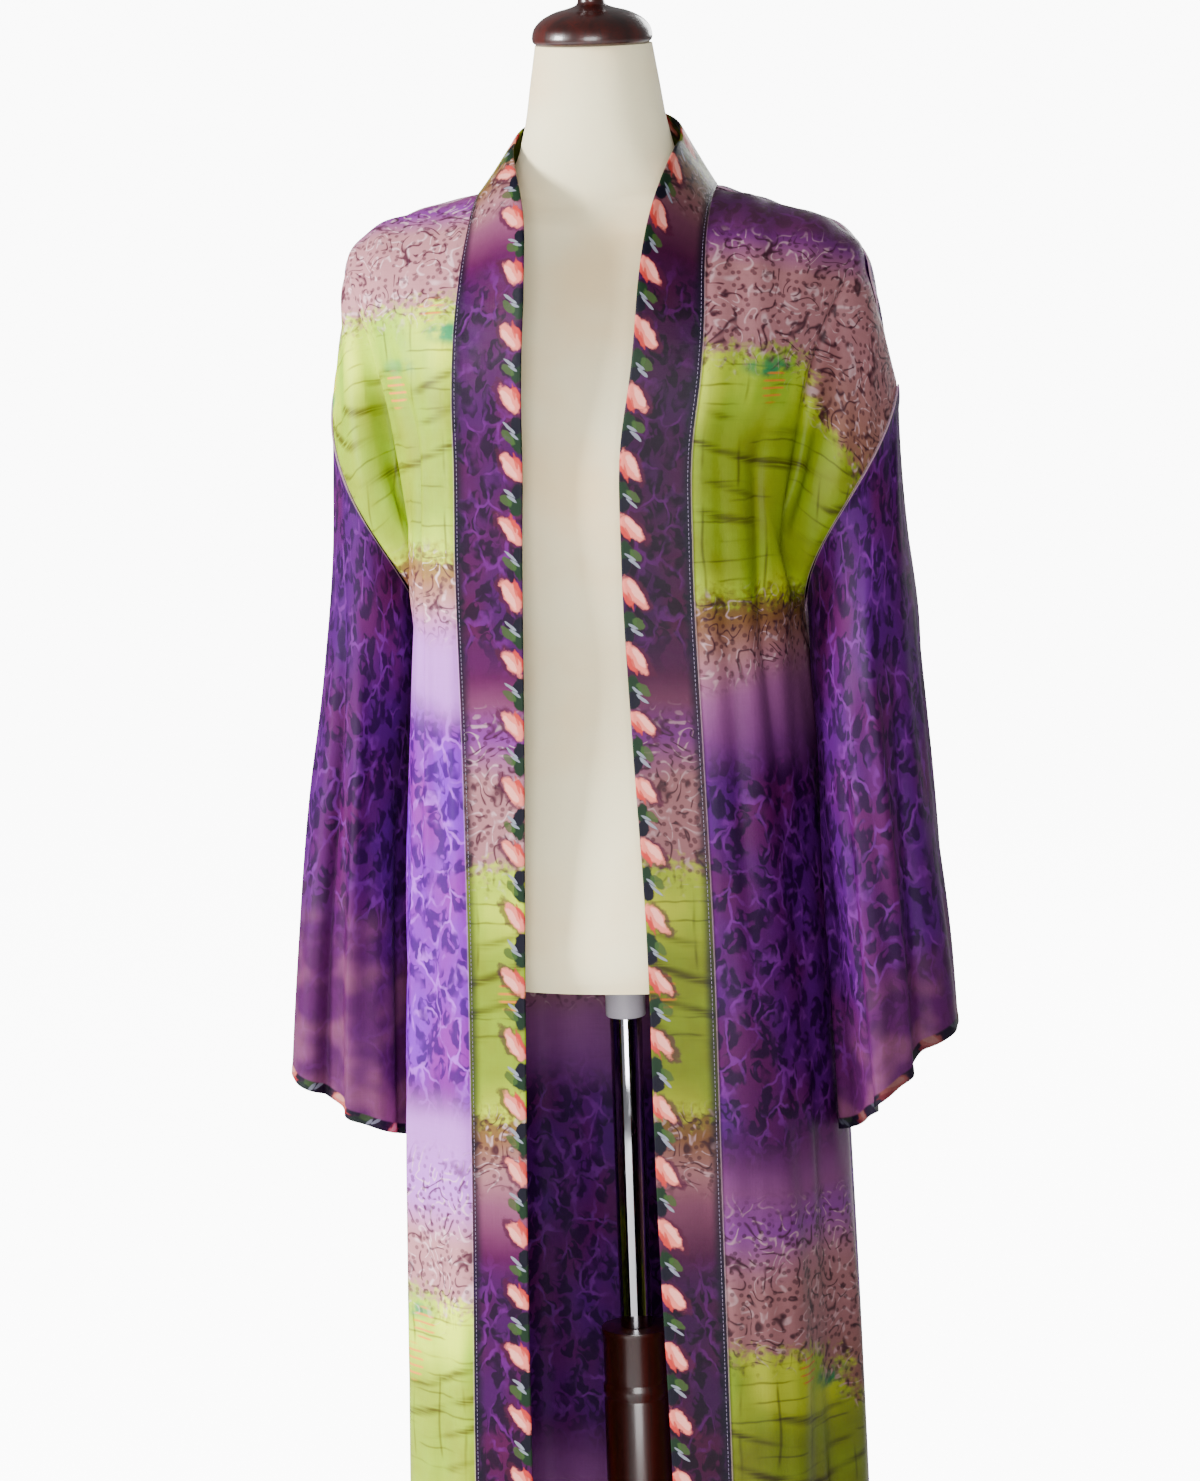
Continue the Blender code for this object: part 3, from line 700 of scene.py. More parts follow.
    def neckband(self, left: Cloth, right: Cloth, back: Cloth) -> Cloth:
        """The band: across it from seam to free edge, along it from hem to hem round the neck.

        Args:
            left: the wearer's left front.
            right: the right front.
            back: the back.

        Returns:
            The band.
        """
        left_seam = left.points[0]
        right_seam = mirror_x(right.points[0])
        left_edge = self.band_edge(Side.LEFT, left_seam)
        right_edge = mirror_x(self.band_edge(Side.RIGHT, right_seam))
        first = self.shoulder_columns
        neck_seam = back.points[first:first + self.neck_columns + 1, 0]
        turn = np.linspace(-0.5 * math.pi, 0.5 * math.pi, self.neck_columns + 1)
        rise = np.cos(turn) ** self.back_band_steepness
        start, end = right_edge[0], left_edge[0]
        middle_y = self.back_neck_y - self.back_band_forward
        middle_z = self.back_neck_z + self.back_band_rise
        side_y = np.where(turn < 0.0, start[1], end[1])
        neck_edge = neck_seam.copy()
        neck_edge[:, 0] = np.sin(turn) * np.where(turn < 0.0, -start[0], end[0])
        neck_edge[:, 1] = side_y + (middle_y - side_y) * np.cos(turn)
        neck_edge[:, 2] = start[2] + (middle_z - start[2]) * rise
        seam = np.concatenate((right.points[0][::-1], neck_seam[1:-1], left_seam))
        edge = np.concatenate((right_edge[::-1], neck_edge[1:-1], left_edge))
        shares = 1.0 - (1.0 - np.arange(self.band_columns + 1) / self.band_columns) ** self.band_crowding
        points = np.array([seam + (edge - seam) * share for share in shares])
        along = lengths_along(edge[None], 1)[0]
        along = along - along[len(along) // 2]
        width = np.linalg.norm(edge - seam, axis=-1)
        to_edge = (1.0 - shares)[:, None] * width[None, :]
        along = np.broadcast_to(along, to_edge.shape)
        cut = np.stack((to_edge, np.abs(along), along), axis=-1)
        return Cloth("neckband", points, cut, width[None, :] - to_edge, 1.0)

    def sleeve_tube(self, side: Side, front: Cloth, back: Cloth) -> Cloth:
        """A sleeve: around it from the outer fold by the front, and from armhole to hem.

        Args:
            side: the wearer's side.
            front: that side's front.
            back: the back.

        Returns:
            The sleeve.
        """
        column = -1 if side is Side.LEFT else 0
        front_edge = front.points[-1][:self.armhole_rows + 1]
        back_edge = back.points[column][:self.armhole_rows + 1]
        if side is Side.RIGHT:
            front_edge = mirror_x(front_edge)
            back_edge = mirror_x(back_edge)
        armhole = np.concatenate((front_edge, back_edge[::-1][1:-1]))
        count = len(armhole)
        turn = 2.0 * math.pi * np.arange(count) / count
        inside = 0.5 - 0.5 * np.cos(turn)
        hem_outer = self.sleeve_hem.value("outer", side.value)
        hem_z = hem_outer + (self.sleeve_hem.value("inner", side.value) - hem_outer) * inside
        middle_y = self.side_y + self.sleeve_hem.value("set_back", side.value)
        armhole[:, 0] += self.underarm_clearance * inside**self.underarm_focus
        rows = []
        for step in range(self.sleeve_rows + 1):
            share = step / self.sleeve_rows
            z = armhole[:, 2] + (hem_z - armhole[:, 2]) * share
            inner = self.sleeve.value(side.word + "_inner", z)
            outer = self.sleeve.value(side.word + "_outer", z)
            front_depth = self.sleeve.value("front_depth", z)
            depth = np.where(np.sin(turn) > 0.0, front_depth, self.sleeve.value("back_depth", z))
            hang_x = 0.5 * (inner + outer) + 0.5 * (outer - inner) * np.cos(turn)
            hang_y = middle_y - depth * np.sin(turn)
            settled = smooth_step(share / self.sleeve_settle)
            x = armhole[:, 0] + (hang_x - armhole[:, 0]) * settled
            y = armhole[:, 1] + (hang_y - armhole[:, 1]) * settled
            rows.append(np.stack((x, y, z), axis=-1))
        points = np.array(rows).transpose(1, 0, 2)
        down = lengths_along(points, 1)
        around = lengths_along(points, 0)
        level = down + armhole[0, 2] - armhole[:, None, 2]
        straight = np.broadcast_to(around[:, -1:], down.shape)
        cut = np.stack((straight, level, down[:, -1:] - down), axis=-1)
        underarm = np.abs(around - around[count // 2])
        if side is Side.RIGHT:
            points = mirror_x(points)
        seam = np.minimum(underarm, down)
        tube = Cloth("sleeve_" + side.word, points, cut, seam, -side.value, closed=True)
        tube.move_out(self.sleeve_fold_depth(side, points))
        return tube

    def sleeve_fold_depth(self, side: Side, points: np.ndarray) -> np.ndarray:
        """How far each point of a sleeve is moved outward by its folds.

        Args:
            side: the wearer's side.
            points: the sleeve's points.

        Returns:
            A depth for each point.
        """
        count, rows = points.shape[:2]
        around = (np.arange(count) / count)[:, None]
        down = (np.arange(rows) / (rows - 1))[None, :]
        depth = np.zeros((count, rows))
        for fold in self.sleeve_folds:
            if fold.side == side.word:
                away = np.abs(around - fold.place)
                away = np.minimum(away, 1.0 - away) / fold.half_width
                grown = smooth_step((down - fold.start) / (1.0 - fold.start))
                depth += fold.depth * grown * np.exp(-away**2)
        return depth


def paint(red: int, green: int, blue: int) -> Colour:
    """A colour given as a paint chart gives it, 0 to 255, as linear light.

    Args:
        red: first channel.
        green: second channel.
        blue: third channel.

    Returns:
        The three channels and full cover.
    """
    def linear(level: int) -> float:
        """One channel as linear light."""
        share = level / 255.0
        return share / 12.92 if share <= 0.04045 else ((share + 0.055) / 1.055) ** 2.4
    return (linear(red), linear(green), linear(blue), 1.0)


class Graph:
    """Writer of shader nodes that keeps their wiring readable."""

    def __init__(self, tree: bpy.types.NodeTree) -> None:
        """Write into a tree."""
        self.tree = tree

    def node(self, kind: str, feeds: dict[int | str, object] | None = None,
             **settings: object) -> bpy.types.Node:
        """Add a node.

        Args:
            kind: the node's kind.
            feeds: what its inputs are fed, by their number or name.
            settings: its properties.

        Returns:
            The new node.
        """
        made = self.tree.nodes.new("ShaderNode" + kind)
        for name, value in settings.items():
            setattr(made, name, value)
        for socket, value in (feeds or {}).items():
            self.feed(made.inputs[socket], value)
        return made

    def feed(self, socket: Socket, value: object) -> None:
        """Link an output to a socket, or set the socket's own value.

        Args:
            socket: what is fed.
            value: an output, a value or nothing.
        """
        if isinstance(value, Socket):
            self.tree.links.new(value, socket)
        elif value is not None:
            socket.default_value = value

    def math(self, operation: str, a: object, b: object = None) -> Socket:
        """A Math node on one or two values."""
        return self.node("Math", {0: a, 1: b}, operation=operation).outputs[0]

    def add(self, a: object, b: object) -> Socket:
        """Sum of two values."""
        return self.math("ADD", a, b)

    def times(self, a: object, b: object) -> Socket:
        """Product of two values."""
        return self.math("MULTIPLY", a, b)

    def minus(self, a: object, b: object) -> Socket:
        """Difference of two values."""
        return self.math("SUBTRACT", a, b)

    def most(self, a: object, b: object) -> Socket:
        """Greater of two values."""
        return self.math("MAXIMUM", a, b)

    def cycle(self, value: object) -> Socket:
        """Share of its present cycle that a value has passed."""
        return self.math("FRACT", value)

    def ease(self, value: object, low: float, high: float) -> Socket:
        """Ease between two values.

        Args:
            value: what is read.
            low: where the result is 0, and stays so beyond.
            high: where it is 1.

        Returns:
            The result.
        """
        falls = low > high
        feeds = {"Value": value, "From Min": min(low, high), "From Max": max(low, high),
                 "To Min": float(falls), "To Max": float(not falls)}
        return self.node("MapRange", feeds, interpolation_type="SMOOTHSTEP").outputs["Result"]

    def window(self, value: object, start: float, end: float, soft: float) -> Socket:
        """1 between two values, with soft ends."""
        begun = self.ease(value, start - soft, start + soft)
        return self.times(begun, self.ease(value, end + soft, end - soft))

    def line(self, value: object, centre: float, half_width: float) -> Socket:
        """1 on a value, fading to 0 at a half width to each side."""
        return self.ease(self.math("ABSOLUTE", self.minus(value, centre)), half_width, 0.0)

    def mix(self, share: object, a: object, b: object, blend: str = "MIX") -> Socket:
        """Mix a share of the second colour into the first."""
        return self.node("Mix", {0: share, 6: a, 7: b}, data_type="RGBA", blend_type=blend).outputs[2]

    def vector(self, x: object, y: object, z: object = 0.0) -> Socket:
        """A vector from three values."""
        return self.node("CombineXYZ", {0: x, 1: y, 2: z}).outputs[0]

    def split(self, vector: object) -> list[Socket]:
        """The three values of a vector."""
        return list(self.node("SeparateXYZ", {0: vector}).outputs)

    def placed(self, vector: object, shift: Triple = (0.0, 0.0, 0.0),
               scale: Triple = (1.0, 1.0, 1.0)) -> Socket:
        """A vector scaled and shifted."""
        return self.node("Mapping", {"Vector": vector, "Location": shift, "Scale": scale}).outputs[0]

    def noise(self, vector: object, scale: float, detail: float = 2.0,
              distortion: float = 0.0) -> Socket:
        """Soft noise from 0 to 1, with so many waves a metre and finer layers, and swirled so far."""
        feeds = {"Vector": vector, "Scale": scale, "Detail": detail, "Distortion": distortion}
        return self.node("TexNoise", feeds).outputs[0]

    def waver(self, reach: float, vector: object, scale: float, detail: float = 2.0) -> Socket:
        """Soft noise about 0 that spans a reach."""
        return self.times(self.minus(self.noise(vector, scale, detail), 0.5), reach)

    def here(self) -> Socket:
        """Place on the piece itself."""
        return self.node("TexCoord").outputs["Object"]

    def cells(self, vector: object, scale: float, feature: str = "F1") -> Socket:
        """Distance in a pattern with so many cells a metre."""
        feeds = {"Vector": vector, "Scale": scale}
        return self.node("TexVoronoi", feeds, feature=feature, voronoi_dimensions="2D").outputs["Distance"]

    def bump(self, height: object, distance: float, strength: float = 1.0) -> Socket:
        """Normal of a surface raised by a height, so many metres for a height of 1."""
        return self.node("Bump", {"Strength": strength, "Distance": distance, "Height": height}).outputs[0]

    def stops(self, value: object, colours: tuple[tuple[float, Colour], ...]) -> Socket:
        """Colour ramp through places and colours.

        Args:
            value: what is read.
            colours: each place and its colour.

        Returns:
            The colour.
        """
        made = self.node("ValToRGB")
        elements = made.color_ramp.elements
        while len(elements) < len(colours):
            elements.new(0.5)
        for element, (place, colour) in zip(elements, colours):
            element.position = place
            element.color = colour
        self.feed(made.inputs[0], value)
        return made.outputs[0]


class Group:
    """Shader node group with named inputs and outputs."""

    def __init__(self, name: str, inputs: dict[str, float], outputs: dict[str, str]) -> None:
        """Make the group's sockets.

        Args:
            name: the group's name.
            inputs: each input and its value.
            outputs: each output and its kind.
        """
        self.tree = bpy.data.node_groups.new(name, "ShaderNodeTree")
        for title, value in inputs.items():
            made = self.tree.interface.new_socket(title, in_out="INPUT", socket_type="NodeSocketFloat")
            made.default_value = value
        for title, kind in outputs.items():
            self.tree.interface.new_socket(title, in_out="OUTPUT", socket_type="NodeSocket" + kind)
        self.graph = Graph(self.tree)
        self.inputs = self.graph.tree.nodes.new("NodeGroupInput").outputs
        self.outputs = self.graph.tree.nodes.new("NodeGroupOutput").inputs

    def use(self, graph: Graph, values: dict[str, object]) -> bpy.types.Node:
        """Place the group in another tree, with a value or output for each input."""
        return graph.node("Group", values, node_tree=self.tree)


def start_finish(name: str) -> tuple[Material, Graph, bpy.types.bpy_prop_collection]:
    """Start a material.

    Args:
        name: the material's name.

    Returns:
        The material, the writer of its nodes and its shader's inputs.
    """
    finish = bpy.data.materials.new(name)
    finish.use_nodes = True
    return finish, Graph(finish.node_tree), finish.node_tree.nodes["Principled BSDF"].inputs


# Painted shade: the dark purple that the reverse face is mixed toward.
PAINTED_SHADE_PURPLE = paint(20, 0, 28)
VIOLET = paint(72, 4, 92)
MAGENTA_PURPLE = paint(84, 10, 70)
MAUVE = paint(134, 74, 106)
SOFT_MAUVE = paint(116, 56, 94)
LILAC = paint(126, 48, 142)
# Painted light: the pale lilac that lit lilac bands are brightened toward.
PAINTED_LIGHT_LILAC = paint(190, 112, 222)
DUSTY_PINK = paint(172, 118, 124)
BROWN_BEIGE = paint(136, 94, 58)
LIME = paint(214, 236, 44)
GRASS = paint(146, 186, 26)
OLIVE = paint(116, 110, 20)
DARK_OLIVE = paint(62, 50, 8)
TEAL = paint(46, 140, 84)
PLUM = paint(56, 16, 36)
ORANGE = paint(236, 128, 36)
PALE_PINK = paint(232, 196, 204)
BLUSH = paint(228, 158, 146)
PEACH = paint(206, 106, 94)
CORAL = paint(166, 46, 42)
WINE = paint(58, 4, 36)
LEAF = paint(16, 36, 20)
SPRIG = paint(50, 74, 32)
NAVY = paint(10, 8, 22)
PALE_GREY = paint(126, 130, 144)
SHADOW_TINT = paint(150, 140, 138)


@dataclass(frozen=True)
class SpotDyes:
    """The four dyes of the spots, in a copy darkened by painted shade or a copy brightened by painted light.
    """

    ground: Colour
    patch: Colour
    blot: Colour
    vein: Colour


@dataclass(frozen=True)
class Spots:
    """Animal spots: dark uneven blots, a little longer than wide, parted by paler net and veins."""

    painted_shade_dyes: SpotDyes = SpotDyes(paint(64, 2, 78), paint(76, 6, 62), paint(20, 0, 28), paint(108, 22, 128))
    painted_light_dyes: SpotDyes = SpotDyes(paint(112, 8, 176), paint(118, 16, 138), paint(46, 0, 84), paint(176, 74, 226))
    blots_per_metre: float = 84.0
    veins_per_metre: float = 58.0
    length_share: float = 0.72
    sway: float = 0.021

    def group(self) -> Group:
        """The spots as a colour on a place in the cut, from their painted-shade dyes at Light 0 to their
        painted-light dyes at 1.

        Returns:
            The group.
        """
        made = Group("Animal spots", {"Across": 0.0, "Down": 0.0, "Light": 0.0}, {"Color": "Color"})
        g = made.graph
        place = g.vector(made.inputs["Across"], g.times(made.inputs["Down"], self.length_share))
        x, y, _ = g.split(place)
        x = g.add(x, g.waver(self.sway, place, 64.0))
        y = g.add(y, g.waver(self.sway, g.placed(place, (3.1, 1.7, 0.0)), 64.0))
        warped = g.vector(x, y)
        blot = g.ease(g.cells(warped, self.blots_per_metre), 0.52, 0.40)
        blot = g.times(blot, g.ease(g.noise(g.placed(place, (0.7, 5.2, 0.0)), 58.0, 2.0), 0.30, 0.50))
        pale_middle = g.ease(g.cells(g.placed(warped, (0.003, 0.002, 0.0)), self.blots_per_metre), 0.10, 0.22)
        net = g.cells(g.placed(warped, (0.4, 0.9, 0.0)), self.veins_per_metre, "DISTANCE_TO_EDGE")
        vein = g.ease(net, 0.11, 0.03)
        vein = g.times(vein, g.ease(g.noise(g.placed(place, (9.0, 2.0, 0.0)), 46.0, 3.0), 0.42, 0.62))
        # Painted light and painted shade: Light mixes each dye from its shaded copy to its lit copy.
        ground, patch, dark, pale = (
            g.mix(made.inputs["Light"], getattr(self.painted_shade_dyes, name), getattr(self.painted_light_dyes, name))
            for name in ("ground", "patch", "blot", "vein")
        )
        colour = g.mix(g.ease(g.noise(place, 15.0, 2.0), 0.36, 0.66), ground, patch)
        colour = g.mix(g.times(g.times(blot, pale_middle), 0.86), colour, dark)
        g.feed(made.outputs["Color"], g.mix(g.times(vein, 0.65), colour, pale))
        return made


@dataclass(frozen=True)
class BandedPrint:
    """Printed cloth whose bands of colour run into each other down its length and then repeat.

    Start is where the first green begins, Yoke how far the spots of the shoulder reach down, and Side how
    far the speckled ground runs down into the green beside the armhole. Light paints light: it brightens the
    spots and turns the lilac bands paler. The last input paints shade: it multiplies every colour toward a
    grey tint.
    """

    repeat: float = 0.785
    border_wobble: float = 0.030
    row_spacing: float = 0.0150
    column_spacing: float = 0.029
    stroke_spacing: float = 0.026
    stroke_bow: float = 3.2
    bow_middle: float = 0.085
    dash_spacing: float = 0.0062

    def group(self, spots: Group) -> Group:
        """Build the print.

        Args:
            spots: the group that colours the spotted bands.

        Returns:
            The whole print as a colour on a place in the cut.
        """
        inputs = dict.fromkeys(("Across", "Down", "Start", "Yoke", "Side", "Light", "Depth"), 0.0)
        made = Group("Banded print", inputs, {"Color": "Color"})
        g = made.graph
        across, down = made.inputs["Across"], made.inputs["Down"]
        place = g.vector(across, down)
        wobble = g.waver(self.border_wobble, place, 13.0, 4.0)
        run = g.add(g.minus(down, made.inputs["Start"]), wobble)
        share = g.cycle(g.times(run, 1.0 / self.repeat))
        ground = g.stops(share, (
            (0.000, DUSTY_PINK), (0.120, BROWN_BEIGE), (0.250, OLIVE), (0.285, BROWN_BEIGE),
            (0.320, DUSTY_PINK), (0.360, MAUVE), (0.405, MAGENTA_PURPLE), (0.450, VIOLET), (0.780, VIOLET),
            (0.825, MAGENTA_PURPLE), (0.855, SOFT_MAUVE), (0.890, LILAC), (0.930, DUSTY_PINK),
            (1.000, DUSTY_PINK),
        ))
        # Painted light: Light brightens the lilac bands below the shoulders toward pale lilac.
        pale = g.most(g.window(share, 0.335, 0.430, 0.030), g.window(share, 0.815, 0.930, 0.030))
        pale = g.times(g.times(pale, g.ease(down, 0.20, 0.30)), g.times(made.inputs["Light"], 0.8))
        ground = g.mix(pale, ground, PAINTED_LIGHT_LILAC)
        edge = g.add(across, g.waver(0.09, place, 22.0, 3.0))
        late = g.times(g.ease(edge, 0.066, 0.160), made.inputs["Side"])
        mottle = g.waver(0.060, place, 150.0, 2.0)
        green_share = g.add(g.minus(share, late), mottle)
        green = g.times(g.ease(green_share, 0.002, 0.030), g.ease(g.add(share, mottle), 0.276, 0.244))
        colour = g.mix(green, ground, self.green_cloth(g, across, down, share, place))
        spotted = spots.use(g, {"Across": across, "Down": down, "Light": made.inputs["Light"]})
        spot_colour = spotted.outputs["Color"]
        colour = g.mix(g.window(share, 0.425, 0.805, 0.035), colour, spot_colour)
        yoke = g.ease(g.minus(g.add(down, wobble), made.inputs["Yoke"]), 0.014, -0.014)
        colour = g.mix(yoke, colour, g.mix(0.35, spot_colour, MAUVE))
        scribbled = g.most(g.window(share, 0.258, 0.340, 0.016), g.ease(share, 0.845, 0.895))
        early = g.times(g.ease(share, 0.20, 0.10), g.ease(green_share, 0.050, 0.004))
        scribbled = g.times(g.most(scribbled, early), g.minus(1.0, yoke))
        colour = self.scribbles(g, place, scribbled, colour)
        # Painted shade: every colour is multiplied toward a grey tint.
        g.feed(made.outputs["Color"], g.mix(made.inputs["Depth"], colour, SHADOW_TINT, "MULTIPLY"))
        return made

    def green_cloth(self, g: Graph, across: object, down: object, share: object,
                    place: object) -> Socket:
        """Colour the green bands.

        Args:
            g: the writer of the tree.
            across: distance across the cloth.
            down: distance down the cloth.
            share: share of the repeat that has passed.
            place: across and down as a vector.

        Returns:
            Green ground with thin broken lines both ways, brushed arcs, a teal wash and orange dashes.
        """
        tone = g.ease(g.noise(g.placed(place, scale=(1.0, 0.5, 1.0)), 17.0, 3.0), 0.32, 0.68)
        colour = g.mix(tone, GRASS, LIME)
        lower = g.window(share, 0.085, 0.245, 0.03)
        colour = g.mix(g.times(lower, 0.92), colour, g.mix(g.noise(place, 26.0, 3.0), OLIVE, GRASS))
        broken = g.ease(g.noise(g.placed(place, scale=(0.35, 1.0, 1.0)), 46.0), 0.48, 0.60)
        rows = g.cycle(g.add(g.times(down, 1.0 / self.row_spacing), g.times(g.noise(place, 30.0), 0.5)))
        colour = g.mix(g.times(g.times(g.line(rows, 0.5, 0.10), broken), 0.6), colour, DARK_OLIVE)
        columns = g.times(across, 1.0 / self.column_spacing)
        columns = g.cycle(g.add(columns, g.times(g.noise(place, 12.0), 0.4)))
        sparse = g.ease(g.noise(g.placed(place, (2.0, 0.0, 0.0), scale=(1.0, 0.3, 1.0)), 40.0), 0.50, 0.62)
        colour = g.mix(g.times(g.times(g.line(columns, 0.5, 0.07), sparse), 0.6), colour, DARK_OLIVE)
        bowed = g.add(down, g.times(g.math("POWER", g.minus(across, self.bow_middle), 2.0), self.stroke_bow))
        arcs = g.cycle(g.add(g.times(bowed, 1.0 / self.stroke_spacing), g.times(g.noise(place, 9.0), 0.9)))
        brushed = g.times(g.line(arcs, 0.5, 0.26), g.window(share, 0.078, 0.190, 0.015))
        strokes = g.noise(g.placed(place, (0.0, 3.0, 0.0), scale=(0.22, 1.0, 1.0)), 44.0, 1.0)
        bristles = g.noise(g.placed(place, scale=(0.05, 1.0, 1.0)), 420.0, 1.0)
        brushed = g.times(g.times(brushed, g.ease(strokes, 0.40, 0.56)), g.ease(bristles, 0.20, 0.60))
        colour = g.mix(g.times(brushed, 0.85), colour, DARK_OLIVE)
        blot = g.cells(g.placed(place, (0.13, 0.31, 0.0), scale=(1.0, 2.4, 1.0)), 8.5)
        blot = g.times(g.ease(blot, 0.26, 0.08), g.window(share, 0.020, 0.075, 0.015))
        colour = g.mix(g.times(blot, g.ease(g.noise(place, 60.0, 3.0), 0.34, 0.56)), colour, TEAL)
        dashes = g.cycle(g.times(down, 1.0 / self.dash_spacing))
        patches = g.ease(g.cells(g.placed(place, (0.52, 0.18, 0.0), scale=(1.3, 1.0, 1.0)), 8.0), 0.14, 0.10)
        return g.mix(g.times(g.times(g.line(dashes, 0.5, 0.26), patches), 0.9), colour, ORANGE)

    def scribbles(self, g: Graph, place: object, shown: object, colour: object) -> Socket:
        """Short dark and pale worm marks over a colour, where they show.

        Args:
            g: the writer of the tree.
            place: the place in the cut.
            shown: how strongly they show there.
            colour: the colour under them.

        Returns:
            The colour with its marks.
        """
        for dye, shift, rate, levels, half_width, share in (
            (PALE_PINK, (1.3, 8.0, 0.0), 42.0, 4.0, 0.17, 0.60),
            (PLUM, (4.7, 2.9, 0.0), 36.0, 4.4, 0.23, 0.90),
        ):
            moved = g.placed(place, shift)
            wander = g.noise(moved, rate, 0.0, 1.1)
            worms = g.line(g.cycle(g.times(wander, levels)), 0.5, half_width)
            broken = g.ease(g.noise(g.placed(moved, (2.0, 5.0, 0.0)), 2.2 * rate, 1.0), 0.44, 0.52)
            colour = g.mix(g.times(g.times(worms, broken), g.times(shown, share)), colour, dye)
        dots = g.ease(g.cells(g.placed(place, (0.2, 0.6, 0.0)), 120.0), 0.27, 0.15)
        return g.mix(g.times(dots, g.times(shown, 0.6)), colour, PLUM)


@dataclass(frozen=True)
class Mark:
    """Oval of the charted border: centre from the edge and along the repeat, half sizes, lean and colour."""

    out: float
    along: float
    half_out: float
    half_along: float
    lean: float
    colour: Colour
    strength: float = 1.0


@dataclass(frozen=True)
class FlowerBorder:
    """Row of petals and leaves along an edge, charted one by one."""

    pitch: float = 0.050
    marks: tuple[Mark, ...] = (
        Mark(0.0110, 0.0016, 0.0072, 0.0160, -0.62, WINE, 0.75),
        Mark(0.0040, 0.0215, 0.0056, 0.0100, -0.20, LEAF),
        Mark(0.0034, -0.0185, 0.0050, 0.0070, 0.30, NAVY),
        Mark(0.0112, 0.0235, 0.0034, 0.0066, -0.75, SPRIG, 0.85),
        Mark(0.0100, -0.0200, 0.0013, 0.0060, -0.85, PALE_GREY, 0.85),
        Mark(0.0066, 0.0245, 0.0011, 0.0046, -0.95, PALE_GREY, 0.75),
        Mark(0.0040, 0.0006, 0.0044, 0.0100, -0.35, CORAL),
        Mark(0.0086, 0.0004, 0.0053, 0.0134, -0.62, PEACH),
        Mark(0.0104, 0.0002, 0.0026, 0.0092, -0.62, BLUSH, 0.70),
        Mark(0.0058, 0.0060, 0.0012, 0.0070, -0.25, CORAL, 0.75),
    )

    def group(self) -> Group:
        """The border's colour and where it covers the cloth.

        Returns:
            The group.
        """
        made = Group("Flower border", {"Out": 0.0, "Along": 0.0}, {"Color": "Color", "Mask": "Float"})
        g = made.graph
        out, along = made.inputs["Out"], made.inputs["Along"]
        place = g.vector(out, along)
        uneven = g.waver(1.0, place, 150.0, 3.0)
        shift = g.waver(0.009, g.placed(place, (5.0, 1.0, 0.0)), 24.0)
        drift = g.waver(0.016, g.placed(place, (2.0, 7.0, 0.0)), 16.0)
        along = g.add(along, drift)
        colour = PLUM
        mask = 0.0
        for mark in self.marks:
            cos, sin = math.cos(mark.lean), math.sin(mark.lean)
            turns = g.times(g.minus(along, mark.along), 1.0 / self.pitch)
            y = g.times(g.minus(g.cycle(g.add(turns, 0.5)), 0.5), self.pitch)
            x = g.minus(g.add(out, shift), mark.out)
            turned_x = g.times(g.add(g.times(x, cos), g.times(y, sin)), 1.0 / mark.half_out)
            turned_y = g.times(g.minus(g.times(y, cos), g.times(x, sin)), 1.0 / mark.half_along)
            away = g.math("SQRT", g.add(g.times(turned_x, turned_x), g.times(turned_y, turned_y)))
            inside = g.times(g.ease(g.add(away, uneven), 1.12, 0.84), mark.strength)
            colour = g.mix(inside, colour, mark.colour)
            mask = g.most(mask, inside)
        g.feed(made.outputs["Color"], colour)
        g.feed(made.outputs["Mask"], mask)
        return made


@dataclass(frozen=True)
class Weave:
    """Fine plain weave with slubs and a soft crinkle."""

    threads_per_metre: float = 1400.0

    def group(self) -> Group:
        """Tone and height of the weave on a place in the cut.

        Returns:
            The group.
        """
        made = Group("Plain weave", {"Across": 0.0, "Down": 0.0}, {"Tone": "Float", "Height": "Float"})
        g = made.graph
        across, down = made.inputs["Across"], made.inputs["Down"]
        rate = 2.0 * math.pi * self.threads_per_metre
        warp = g.math("SINE", g.times(across, rate))
        weft = g.math("SINE", g.times(down, rate))
        threads = g.times(g.times(warp, weft), 0.5)
        place = g.vector(across, down)
        slub = g.noise(g.placed(place, scale=(1.0, 0.04, 1.0)), 900.0, 1.0)
        cross_slub = g.noise(g.placed(place, scale=(0.04, 1.0, 1.0)), 900.0, 1.0)
        crinkle = g.noise(place, 34.0, 4.0)
        slubs = g.add(slub, cross_slub)
        tone = g.add(g.times(g.minus(slubs, 1.0), 0.5), 1.0)
        g.feed(made.outputs["Tone"], tone)
        height = g.add(g.times(threads, 0.10), g.add(g.times(slubs, 0.12), g.times(crinkle, 2.4)))
        g.feed(made.outputs["Height"], height)
        return made


@dataclass(frozen=True)
class Dyes:
    """Node groups that the cloth finishes share."""

    spots: Group
    bands: Group
    border: Group
    weave: Group

    @classmethod
    def mixed(cls) -> "Dyes":
        """Build each group once."""
        spots = Spots().group()
        return cls(spots, BandedPrint().group(spots), FlowerBorder().group(), Weave().group())


class Pattern(Enum):
    """What is printed on a piece of cloth."""

    BODY = "body"
    BAND = "band"
    SLEEVE = "sleeve"


@dataclass(frozen=True)
class PrintPlace:
    """Where a piece was laid on the printed cloth, and how much painted light and painted shade it gets.

    Start, yoke, side, light and depth are the banded print's: light is painted light and depth is painted
    shade. The far shade adds more painted shade on the wearer's left half of the band and on the lower skirt
    of a panel. Cuff is how far above its hem a sleeve's spots fade out, and hem flowers is how strongly the
    flowers show on the navy edge of its hem.
    """

    pattern: Pattern
    start: float = 0.0
    yoke: float = -0.1
    side: float = 0.0
    light: float = 0.0
    depth: float = 0.0
    painted_shade_far: float = 0.0
    cuff: float = 0.12
    hem_flowers: float = 1.0


